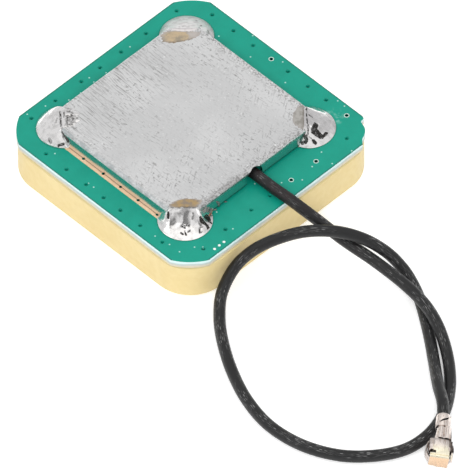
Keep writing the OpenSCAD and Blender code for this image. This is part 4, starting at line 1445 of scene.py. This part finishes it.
def outside(x: float, y: float, outline: Sequence[Point2]) -> float:
    """Returns how far a place lies outside an outline, or 0 inside it."""
    gap, inside = math.inf, False
    for k, (bx, by) in enumerate(outline):
        ax, ay = outline[k - 1]
        if (ay > y) != (by > y) and x < mixed(ax, bx, (y - ay) / (by - ay)):
            inside = not inside
        gap = min(gap, off_line(x, y, (ax, ay), (bx, by)))
    return 0.0 if inside else gap


@dataclass(frozen=True)
class Joint:
    """How one corner's solder froze.

    Height at the lid's cut edge, bend of its fall (over 1 hollow, under 1 full), size of its lumps, how far
    it runs onto the lid, how dark the painted shade in its crease along the lid is, how it climbs the walls'
    ends (under 1 is soon), its finish, its ridges as place along the corner, width and height, its dark
    strokes as X and Y of both ends, half width and darkness, and its dark blots as outlines. The strokes and
    blots are partly scorched flux and partly painted shade and painted dark reflections.
    """

    top: float
    bend: float
    lump: float
    lap: float = 0.0
    crease: float = 0.0
    hug: float = 1.0
    finish: str = "solder"
    ridges: tuple[Point3, ...] = ()
    strokes: tuple[tuple[float, ...], ...] = ()
    blots: tuple[tuple[Point2, ...], ...] = ()

    def burnt_and_shade(self, x: float, y: float) -> float:
        """Returns how dark the strokes and blots make a place, from 0 to 1."""
        dark = max((1 - eased(outside(x, y, blot), 0.0, 0.06) for blot in self.blots), default=0.0)
        for ax, ay, bx, by, half, depth in self.strokes:
            gap = off_line(x, y, (ax, ay), (bx, by))
            dark = max(dark, depth * (1 - eased(gap, half * 0.45, half * 1.25)))
        return dark


JOINTS: dict[Corner, Joint] = {
    Corner.LEFT: Joint(
        top=1.7, bend=0.75, lump=0.05,
        lap=1.4,
        ridges=((0.3, 0.08, 0.12), (0.62, 0.1, 0.1)),
        strokes=(
            (-9.12, -7.99, -7.79, -9.15, 0.13, 0.6), (-9.56, -8.6, -8.46, -9.41, 0.22, 0.22),
            (-8.84, -8.65, -8.5, -9.11, 0.12, 0.4), (-7.55, -9.27, -7.2, -9.48, 0.13, 0.55),
            (-7.17, -10.18, -6.86, -9.71, 0.09, 0.8), (-8.17, -10.36, -7.86, -10.41, 0.14, 0.5),
            (-8.75, -7.83, -8.31, -8.26, 0.1, 0.6), (-8.21, -7.84, -7.77, -8.4, 0.12, 0.65),
            (-8.04, -7.49, -7.35, -7.77, 0.09, 0.5), (-7.41, -8.75, -7.18, -8.33, 0.1, 0.55),
            (-7.12, -8.78, -7.08, -9.07, 0.1, 0.6), (-9.07, -7.26, -8.96, -6.98, 0.12, 0.4),
            (-7.87, -8.17, -7.35, -8.16, 0.22, 0.5), (-7.62, -7.62, -7.2, -7.3, 0.16, 0.42),
            (-7.3, -8.45, -6.75, -8.3, 0.14, 0.4), (-9.1, -7.3, -8.6, -7.1, 0.14, 0.5),
            (-8.6, -7.5, -8.1, -7.3, 0.16, 0.5), (-8.0, -7.6, -7.5, -7.9, 0.16, 0.5),
            (-7.75, -8.45, -7.3, -8.75, 0.14, 0.5), (-8.35, -8.1, -7.95, -7.75, 0.14, 0.5),
            (-7.5, -7.76, -6.63, -8.23, 0.07, 0.35),
        ),
    ),
    Corner.BACK: Joint(
        top=1.69, bend=1.1, lump=0.03,
        lap=0.32,
        hug=0.8,
        finish="frosted_solder",
        ridges=((0.5, 0.2, 0.05),),
        strokes=(
            (-8.92, 7.28, -8.44, 7.72, 0.12, 0.3), (-7.97, 9.15, -7.94, 9.21, 0.1, 0.8),
            (-8.93, 9.5, -8.9, 9.55, 0.09, 0.55), (-7.0, 9.0, -7.1, 9.14, 0.1, 0.6),
            (-7.28, 9.44, -7.0, 9.3, 0.12, 0.45), (-10.65, 6.89, -10.3, 7.1, 0.1, 0.4),
        ),
    ),
    Corner.RIGHT: Joint(
        top=1.66, bend=1.25, lump=0.07,
        crease=0.9,
        hug=0.7,
        ridges=((0.3, 0.06, 0.22), (0.66, 0.08, 0.12)),
        strokes=(
            (8.03, 7.31, 8.72, 6.62, 0.07, 0.85), (7.25, 8.22, 7.52, 8.34, 0.12, 0.6),
            (6.65, 8.43, 6.75, 8.39, 0.1, 0.75), (8.76, 6.45, 8.9, 6.31, 0.12, 0.9),
            (8.65, 5.9, 8.9, 6.18, 0.12, 0.8), (8.89, 6.58, 9.13, 6.73, 0.06, 0.55),
            (7.24, 8.23, 7.55, 8.25, 0.09, 0.5), (8.39, 7.01, 8.73, 6.61, 0.07, 0.7),
            (6.55, 8.62, 6.95, 8.24, 0.07, 0.75), (7.05, 8.1, 7.35, 7.8, 0.06, 0.8),
            (7.5, 7.7, 7.95, 7.28, 0.08, 0.85),
        ),
        blots=(
            (
                (8.06, 8.13), (8.38, 8.31), (8.68, 7.84), (8.92, 7.86),
                (9.22, 7.86), (9.35, 7.98), (9.23, 8.37), (9.37, 8.59),
                (9.51, 8.19), (9.57, 7.67), (9.46, 7.45), (9.19, 7.26),
                (8.81, 6.99), (8.44, 7.35), (8.26, 7.73),
            ),
            ((9.17, 6.72), (9.29, 6.9), (9.56, 6.96), (9.57, 6.77), (9.34, 6.65), (9.24, 6.65)),
        ),
    ),
    Corner.FRONT: Joint(
        top=1.64, bend=1.9, lump=0.06,
        crease=0.5,
        hug=0.5,
        ridges=((0.27, 0.05, 0.3), (0.72, 0.05, 0.32), (0.5, 0.08, 0.14)),
        strokes=(
            (6.6, -9.4, 6.83, -9.62, 0.1, 1.0), (7.35, -8.52, 7.98, -7.84, 0.2, 0.22),
            (7.63, -8.54, 8.03, -8.03, 0.12, 0.2), (6.45, -9.57, 6.97, -9.84, 0.12, 0.2),
            (8.21, -7.82, 8.43, -8.16, 0.08, 0.55), (7.68, -8.85, 8.3, -8.43, 0.18, 0.15),
            (8.16, -8.94, 8.37, -8.76, 0.07, 0.5), (8.19, -9.23, 8.46, -9.11, 0.09, 0.85),
            (8.42, -8.87, 8.6, -8.73, 0.09, 0.85), (8.49, -9.66, 8.72, -9.62, 0.1, 0.95),
            (8.67, -9.32, 8.96, -9.47, 0.1, 0.95), (8.88, -9.14, 8.94, -8.94, 0.09, 0.9),
            (9.34, -8.1, 9.63, -8.33, 0.1, 0.95), (9.71, -8.28, 9.7, -8.14, 0.06, 0.8),
            (9.35, -7.98, 9.44, -7.82, 0.06, 0.7),
        ),
        blots=(
            ((6.53, -9.49), (6.69, -9.38), (6.82, -9.52), (6.74, -9.68)),
            (
                (8.81, -7.58), (9.06, -7.76), (9.36, -7.61), (9.5, -7.42),
                (9.82, -7.54), (9.8, -7.27), (9.5, -7.15),
                (9.18, -7.36), (8.93, -7.43),
            ),
            ((8.95, -7.15), (9.1, -7.0), (9.37, -6.85), (9.6, -6.75), (9.0, -6.41), (8.8, -6.6)),
        ),
    ),
}

# Rough outlines of the set flux on the lid, in millimetres
FLUX_BACK: tuple[Point2, ...] = (
    (-9.12, 5.2), (-9.3, 5.53), (-9.22, 5.93), (-8.82, 6.43),
    (-8.23, 6.97), (-7.54, 7.58), (-7.13, 7.93), (-6.78, 8.1),
    (-6.7, 7.85), (-6.75, 7.34), (-6.88, 6.79), (-7.18, 6.2), (-7.65, 5.52), (-8.12, 5.05), (-8.66, 4.9),
)
FLUX_RIGHT: tuple[Point2, ...] = (
    (6.33, 8.4), (6.02, 8.16), (6.09, 7.7), (6.26, 7.38),
    (6.33, 7.1), (6.63, 6.74), (6.89, 6.45), (7.31, 6.23),
    (7.58, 6.22), (7.89, 6.22), (8.29, 6.45), (7.43, 7.37),
)
FLUX_FRONT: tuple[Point2, ...] = (
    (6.19, -9.05), (6.19, -8.79), (6.25, -8.21), (6.47, -7.65),
    (6.84, -7.11), (7.36, -6.71), (7.79, -6.5), (8.12, -6.6),
    (8.13, -6.95), (8.1, -7.4), (7.66, -7.88), (7.13, -8.41), (6.6, -8.93),
)


@dataclass(frozen=True)
class Crumb:
    """A lump of flux on a wall or the board: both ends of its middle line, its radius and its finish."""

    start: Point3
    end: Point3
    radius: float
    finish: str


CRUMBS: tuple[Crumb, ...] = (
    # The first lump fills the open slit at the left corner's wall end: painted shade.
    Crumb((-7.3, -9.45, 6.45), (-6.5, -9.52, 5.85), 0.12, "burnt_flux"),
    Crumb((8.52, 6.3, 6.3), (8.82, 6.25, 5.5), 0.13, "burnt_flux"),
    Crumb((8.6, 5.95, 5.12), (8.88, 6.12, 5.25), 0.12, "brown_flux"),
    Crumb((8.5, -6.5, 6.25), (8.6, -6.95, 5.8), 0.2, "sooty_flux"),
    Crumb((8.5, -6.15, 5.95), (8.6, -6.5, 5.5), 0.17, "sooty_flux"),
    Crumb((8.52, -5.85, 5.6), (8.6, -6.1, 5.3), 0.13, "sooty_flux"),
    Crumb((8.86, -6.42, 5.36), (8.74, -6.04, 5.2), 0.11, "rust_flux"),
    Crumb((8.56, -5.74, 5.4), (8.62, -5.9, 5.15), 0.09, "brown_flux"),
    Crumb((8.8, -6.0, 5.1), (8.9, -6.2, 5.08), 0.07, "pale_flux"),
    Crumb((8.52, -5.1, 6.0), (8.54, -4.75, 5.45), 0.12, "sooty_flux"),
    Crumb((8.52, -4.9, 5.5), (8.54, -4.8, 5.15), 0.1, "sooty_flux"),
    Crumb((8.5, -5.45, 5.1), (8.6, -5.2, 5.02), 0.08, "sooty_flux"),
    Crumb((8.5, -4.02, 5.06), (8.6, -3.86, 5.02), 0.08, "sooty_flux"),
)


@dataclass
class Can:
    """Folded shield can, with the solder and the flux at its corners.

    Dents, waves and bulges of the sheet are given as depth, size and seed.
    """

    side: float = 18.1
    height: float = 1.7
    sheet: float = 0.2
    fold: float = 0.4
    tight: float = 0.26
    gap: float = 2.1
    middle: Point2 = (-0.5, -0.45)
    lift: float = 0.18
    notch: float = 2.0
    notch_y: float = -0.15
    notch_level: float = 5.72
    notch_in: float = 0.3
    lands: Point2 = (-0.55, -0.1)
    land_half: float = 8.0
    solder_radius: float = 2.58
    skirt: float = 0.06
    dents: tuple[Point3, ...] = ((0.012, 3.2, 1.5), (0.008, 0.9, 7.5))
    wave: Point3 = (0.02, 1.5, 3.5)
    bulge: Point3 = (0.012, 1.1, 9.5)
    wall_steps: int = 56
    lid_step: float = 0.5
    hem: Point2 = (0.06, 0.12)

    @property
    def half(self) -> float:
        """Half of the can's side."""
        return self.side / 2

    @property
    def lid_half(self) -> float:
        """Half of the lid's flat part."""
        return self.half - self.fold

    @property
    def wall_half(self) -> float:
        """Half of a wall's length."""
        return self.half - self.gap

    def _sheet_metal(self) -> Shell:
        """Returns the can's outer skin, about its own middle, with dents and wavy walls."""
        points: list[Point3] = []
        faces: list[Face] = []
        steps, step = self.wall_steps, self.lid_step
        wall = [mixed(-self.wall_half, self.wall_half, k / steps) for k in range(steps + 1)]
        for turn in range(4):
            foot = self.lift if turn == 0 else 0.0
            radius = self.tight if turn < 2 else self.fold
            straight = self.height - radius
            profile = [(0.0, foot + rise) for rise in (0.0, *self.hem)]
            profile += [(0.0, mixed(foot + self.hem[1], straight, k / 4)) for k in range(1, 4)]
            for k in range(9):
                angle = math.pi / 2 * k / 8
                profile.append((radius * (math.cos(angle) - 1), straight + radius * math.sin(angle)))
            if turn < 2:
                profile.append((-self.fold, self.height))
            start = len(points)
            rows = [(self.half + inset, level) for inset, level in profile]
            points += [(*turned(x, along, turn), level) for x, level in rows for along in wall]
            faces += [tuple(start + v for v in quad) for quad in grid_faces(len(profile), steps + 1)]
        edge = [(self.lid_half, along) for along in wall]
        shares = [k / 6 for k in range(1, 6)]
        ends = self.lid_half, self.wall_half
        edge += [(mixed(*ends, share), mixed(*reversed(ends), share)) for share in shares]
        rim = [turned(x, y, turn) for turn in range(4) for x, y in edge]
        most = int(self.lid_half / step)
        places = [k * step for k in range(-most, most + 1)]
        reach, slant = self.lid_half - 0.2, self.lid_half + self.wall_half - 0.3
        inner = [
            (x, y) for x in places for y in places if max(abs(x), abs(y)) < reach and abs(x) + abs(y) < slant
        ]
        flat = [Vector(p) for p in rim + inner]
        loop = [(k, (k + 1) % len(rim)) for k in range(len(rim))]
        filled = delaunay_2d_cdt(flat, loop, [], 1, 1e-6)
        start = len(points)
        points += [(p.x, p.y, self.height) for p in filled[0]]
        faces += [tuple(start + v for v in face) for face in filled[2]]
        return [self._dented(*p) for p in points], faces

    def _dented(self, x: float, y: float, z: float) -> Point3:
        """Returns a point of the skin, moved by the dents and waves of handled sheet."""
        deep = sum(depth * ripple(x, y, size, seed) for depth, size, seed in self.dents)
        near = eased(max(abs(x), abs(y)), self.lid_half - 1.2, self.half)
        wave = self.wave[0] * ripple(x, y, *self.wave[1:]) * near
        out = self.bulge[0] * ripple(x + z, y - z, *self.bulge[1:]) * near
        scale = 1 + out / max(abs(x), abs(y), 1.0)
        return (x * scale, y * scale, z + (deep + wave if z > self.height - self.fold else 0.0))

    def build(self, palette: Palette) -> None:
        """Makes the can with its notch, and the solder and flux at its corners."""
        holder = settled("can_skin", meshed("can_skin", *self._sheet_metal(), 1.0), near=2e-4)
        modified(holder, "SOLIDIFY", thickness=self.sheet, offset=-1, use_even_offset=True)
        cutter = self._notch_cutter()
        modified(holder, "BOOLEAN", object=cutter, operation="DIFFERENCE", solver="EXACT")
        mesh = flattened("folded_can", holder)
        bpy.data.objects.remove(cutter)
        mesh.transform(Matrix.Scale(MM, 4) @ Matrix.Translation((*self.middle, LAND_TOP)))
        can = settled("folded_can", mesh, 40.0)
        self._mark(can.data)
        dressed(can, palette["tinplate"], "tinplate", "shield_can")
        for corner in Corner:
            self._solder(corner, palette)
        self._flux("flux_back", FLUX_BACK, (0.64, -0.77), palette["tan_flux"], 0.9)
        self._flux("flux_right", FLUX_RIGHT, (0.7, 0.7), palette["grey_flux"])
        self._flux("flux_front", FLUX_FRONT, (0.7, -0.7), palette["brown_flux"])
        for finish in sorted({crumb.finish for crumb in CRUMBS}):
            self._crumbs(finish, palette[finish])

    def _mark(self, mesh: Mesh) -> None:
        """Stores what belongs to the lid and to the walls' foot, and how far it is to the lid's rim."""
        keys = ("lid", "rim", "foot")
        for key in keys:
            mesh.attributes.new(key, "FLOAT", "POINT")
        lid, rim, foot = (mesh.attributes[key].data for key in keys)
        for k, vert in enumerate(mesh.vertices):
            x, y = vert.co.x / MM - self.middle[0], vert.co.y / MM - self.middle[1]
            level = vert.co.z / MM - LAND_TOP
            lid[k].value = eased(level, self.height - 0.4, self.height - 0.28)
            raised = self.lift if x > self.half - self.sheet - 0.06 else 0.0
            foot[k].value = 1 - eased(level - raised, 0.03, 0.1)
            corner = (self.lid_half + self.wall_half - abs(x) - abs(y)) / SLANT
            mouth = math.hypot(
                max(0.0, self.half - self.notch_in - x),
                max(0.0, abs(vert.co.y / MM - self.notch_y) - self.notch / 2),
            )
            side = self.half - 0.15 - max(abs(x), abs(y))
            rim[k].value = max(0.0, min(side, corner, mouth)) * MM

    def _notch_cutter(self) -> Object:
        """Returns the arched tool that cuts the lead's notch, about the can's own middle."""
        level = self.notch_level - LAND_TOP
        lead_y = self.notch_y - self.middle[1]
        radius = self.notch / 2
        turns = [math.pi * k / 20 for k in range(21)]
        arch = [(lead_y + radius * math.cos(turn), level + radius * math.sin(turn)) for turn in turns]
        arch = [(lead_y + radius, -1.0), *arch, (lead_y - radius, -1.0)]
        points = [(x, y, z) for x in (self.half - self.notch_in, self.half + 0.5) for y, z in arch]
        return settled("notch_cutter", meshed("notch_cutter", points, prism_faces(len(arch)), 1.0), near=2e-4)

    def _corner_line(
        self, corner: Corner, count: int
    ) -> tuple[list[Point2], list[Point2], list[float], list[float]]:
        """Returns the lines between which a corner's solder spans.

        Args:
            corner: The corner.
            count: How many points each line gets.

        Returns:
            Points along the can, points along the land's rim, how high the solder climbs at each, and the
            share of the lid's cut edge at each, or 0 beside it.
        """
        sx, sy = corner.value
        pad = (
            sx * (self.lands[0] + sx * self.land_half - self.middle[0]),
            sy * (self.lands[1] + sy * self.land_half - self.middle[1]),
        )
        radius, half, wall, lid = self.solder_radius, self.half, self.wall_half, self.lid_half
        low = pad[1] - math.sqrt(radius**2 - (half - pad[0]) ** 2)
        left = pad[0] - math.sqrt(radius**2 - (half - pad[1]) ** 2)
        line = [(half, low), (half, wall), (lid, wall), (wall, lid), (wall, half), (left, half)]
        runs = [math.dist(a, b) for a, b in zip(line, line[1:])]
        total = sum(runs)
        first = math.atan2(low - pad[1], half - pad[0])
        last = math.atan2(half - pad[1], left - pad[0])
        inner: list[Point2] = []
        outer: list[Point2] = []
        climb: list[float] = []
        cut: list[float] = []
        for k in range(count):
            run = total * k / (count - 1)
            rest = run
            for side, (a, b, length) in enumerate(zip(line, line[1:], runs)):
                if rest <= length + 1e-9:
                    inner.append((mixed(a[0], b[0], rest / length), mixed(a[1], b[1], rest / length)))
                    cut.append(rest / length if side == 2 else 0.0)
                    break
                rest -= length
            angle = mixed(first, last, k / (count - 1))
            outer.append((pad[0] + radius * math.cos(angle), pad[1] + radius * math.sin(angle)))
            climb.append(min(eased(run, 0.0, runs[0] + 0.5), eased(total - run, 0.0, runs[-1] + 0.5)))
        mx, my = self.middle
        inner, outer = ([(mx + sx * x, my + sy * y) for x, y in side] for side in (inner, outer))
        return inner, outer, climb, cut

    def _solder(self, corner: Corner, palette: Palette) -> None:
        """Makes one soldered corner as a skin that runs from the lid over its cut edge down to the land."""
        joint = JOINTS[corner]
        count, rows = 131, 47
        inner, outer, climb, cut = self._corner_line(corner, count)
        seed = 11.0 + 7.0 * list(Corner).index(corner)
        climb = [rise**joint.hug for rise in climb]
        upper, lower, stain = self._lapped(corner, list(zip(inner, climb, cut)), seed)
        for r in range(rows):
            t = r / (rows - 1)
            fall = (1 - t) ** joint.bend if joint.bend > 1 else 1 - t ** (1 / joint.bend)
            bulge = math.sin(math.pi * t)
            skirt = self.skirt * math.sqrt(max(0.0, 1 - t**8))
            row: list[Point3] = []
            for c, (a, b, rise) in enumerate(zip(inner, outer, climb)):
                x, y = mixed(a[0], b[0], t), mixed(a[1], b[1], t)
                dark = joint.burnt_and_shade(x, y)
                lumps = joint.lump * (ripple(x, y, 1.1, seed) + 0.4 * ripple(x, y, 0.5, seed + 3))
                ridges = sum(h * mound(c / (count - 1), s, w) for s, w, h in joint.ridges)
                height = joint.top * rise * fall + (lumps + ridges * (1 - t) - 0.05 * dark) * bulge * rise
                row.append((x, y, LAND_TOP + max(0.0, height) + skirt))
                # Painted shade along the crease where the solder meets the can.
                edge = joint.crease * (1 - eased(t, 0.0, 0.07)) * rise
                stain.append(max(dark, edge))
            upper.append(row)
            lower.append([(x, y, LAND_TOP) for x, y, _ in row])
        name = corner.name.lower()
        piece = shaped("solder_fillet_" + name, skinned(upper, lower), 70.0, stain=stain + [0.0] * len(stain))
        dressed(piece, palette[joint.finish], "solder", "corner_solder_" + name)

    def _lapped(
        self, corner: Corner, edge: list[tuple[Point2, float, float]], seed: float
    ) -> tuple[Grid, Grid, list[float]]:
        """Returns the solder that ran onto the lid, in wrinkles along its cut edge.

        Args:
            corner: The corner.
            edge: Points along the can, how high the solder climbs at each and the share of the cut edge.
            seed: Chooses the wrinkles.

        Returns:
            Rows of its upper side, rows of its underside, and how dark each point is: scorched flux, painted
            shade in the wrinkles and painted dark reflections.
        """
        joint = JOINTS[corner]
        (sx, sy), lid = corner.value, LAND_TOP + self.height
        rows = 15 if joint.lap else 0
        upper: Grid = []
        lower: Grid = []
        stain: list[float] = []
        for r in range(rows):
            far = 1 - r / rows
            tops: list[Point3] = []
            feet: list[Point3] = []
            for (x, y), rise, share in edge:
                ragged = 1 + 0.25 * ripple(share * 3, 0, 0.35, seed)
                reach = joint.lap * far * (4 * share * (1 - share)) ** 0.4 * ragged
                px, py = x - sx * reach / SLANT, y - sy * reach / SLANT
                along = (sx * x - sy * y) / SLANT
                fold = ripple(along * 0.28, reach, 0.3, 8.0) * min(1.0, joint.lap)
                fine = ripple(along * 0.4, reach, 0.14, 3.0) * min(1.0, joint.lap)
                dark = joint.burnt_and_shade(px, py)
                bead = max(0.004, (0.045 + 0.07 * abs(fold) + 0.025 * fine - 0.04 * dark) * (1 - far**3))
                top = lid + bead if reach > 0 else LAND_TOP + joint.top * rise + self.skirt
                tops.append((px, py, top))
                feet.append((px, py, min(lid - 0.03, top - 0.02)))
                # The wrinkles' hollows are darkened: scorched flux and painted shade.
                wrinkles = max(0.55 * max(0.0, 0.9 - 5 * abs(fold)), -0.8 * fine)
                stain.append(max(dark, wrinkles) if reach > 0 and joint.lap > 1 else dark)
            upper.append(tops)
            lower.append(feet)
        return upper, lower, stain

    def _flux(
        self, name: str, outline: Sequence[Point2], shade: Point2, material: Material, tail: float = 0.0
    ) -> None:
        """Makes set flux on the lid inside a rough outline, with a dark crease of painted shade along one
        side of its rim.

        Args:
            name: Name of the piece.
            outline: Its outline, in millimetres.
            shade: Way towards the side with the crease.
            material: Its finish.
            tail: How grey it turns towards the back corner.
        """
        knots = [Vector(p) for p in outline]
        loop: list[Vector] = []
        for k, b in enumerate(knots):
            a, c, d = knots[k - 1], knots[(k + 1) % len(knots)], knots[(k + 2) % len(knots)]
            square, cube = a - b * 2.5 + c * 2 - d / 2, b * 1.5 - a / 2 - c * 1.5 + d / 2
            loop += [b + (c - a) * t / 2 + square * t * t + cube * t**3 for t in (j / 6 for j in range(6))]
        middle = sum(loop, Vector((0, 0))) / len(loop)
        rows = 15
        upper: Grid = []
        lower: Grid = []
        stain: list[float] = []
        pale: list[float] = []
        for r in range(rows):
            share = r / (rows - 1)
            tops: list[Point3] = []
            for knot in loop:
                spot = middle.lerp(knot, share * (1 + 0.15 * ripple(knot.x, knot.y, 0.2, 5.0)))
                height = 0.034 * (1 - share**4) + 0.014 * ripple(spot.x, spot.y, 0.4, 2.0)
                tops.append((spot.x, spot.y, LAND_TOP + self.height + max(0.006, height)))
                side = max(0.0, (knot - middle).normalized().dot(Vector(shade)))
                broken = eased(ripple(spot.x, spot.y, 0.7, 6.0), -0.5, 0.2)
                # Painted shade: a broken dark crease along the rim, mostly on the shade side.
                stain.append(0.9 * eased(share, 0.72, 0.9) * (0.15 + 0.85 * side) * (0.4 + 0.6 * broken))
                greyed = tail * eased(spot.x + spot.y + 0.9 * ripple(spot.x, spot.y, 0.5, 3.0), -0.7, 0.4)
                pale.append(max(greyed, 0.85 * eased(share, 0.7, 1.0) * (1 - side)))
            upper.append(tops)
            lower.append([(x, y, LAND_TOP + self.height - 0.03) for x, y, _ in tops])
        film = shaped(name, skinned(upper, lower, closed=True), 60.0, stain=stain * 2, pale=pale * 2)
        dressed(film, material, "solder")

    def _crumbs(self, finish: str, material: Material) -> None:
        """Makes the lumps of one kind of flux along the walls' ends."""
        shells: list[Shell] = []
        for crumb in (c for c in CRUMBS if c.finish == finish):
            start, end = Vector(crumb.start), Vector(crumb.end)
            way = (end - start).normalized()
            side = way.orthogonal().normalized()
            over = way.cross(side)
            points: list[Point3] = []
            rows, columns = 15, 16
            for r in range(rows):
                turn = math.pi * r / (rows - 1)
                heart = start.lerp(end, 0.5 - 0.5 * math.cos(turn)) - way * math.cos(turn) * crumb.radius
                for c in range(columns):
                    spin = 2 * math.pi * c / columns
                    spoke = side * math.cos(spin) + over * math.sin(spin)
                    rough = 1 + 0.45 * noise.noise((heart + spoke * crumb.radius) * 5.0)
                    points.append(tuple(heart + spoke * (crumb.radius * math.sin(turn) ** 0.7 * rough)))
            shells.append((points, grid_faces(rows, columns, closed=True)))
        dressed(shaped(finish + "_crumbs", joined(shells), 60.0), material, "solder")


def main() -> None:
    """Builds the studio and every sub-assembly in order."""
    logging.basicConfig(level=logging.INFO, format="%(name)s: %(message)s")
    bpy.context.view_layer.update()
    palette = Palette()
    studio = Studio()
    studio.place_camera()
    palette.dress_solids(frame["nodes"], frame["record"])
    Lead().build(palette, Plug().build(palette))
    Board().build(palette)
    Can().build(palette)
    studio.light()
    studio.lay_floor()


if __name__ == "__main__":
    main()
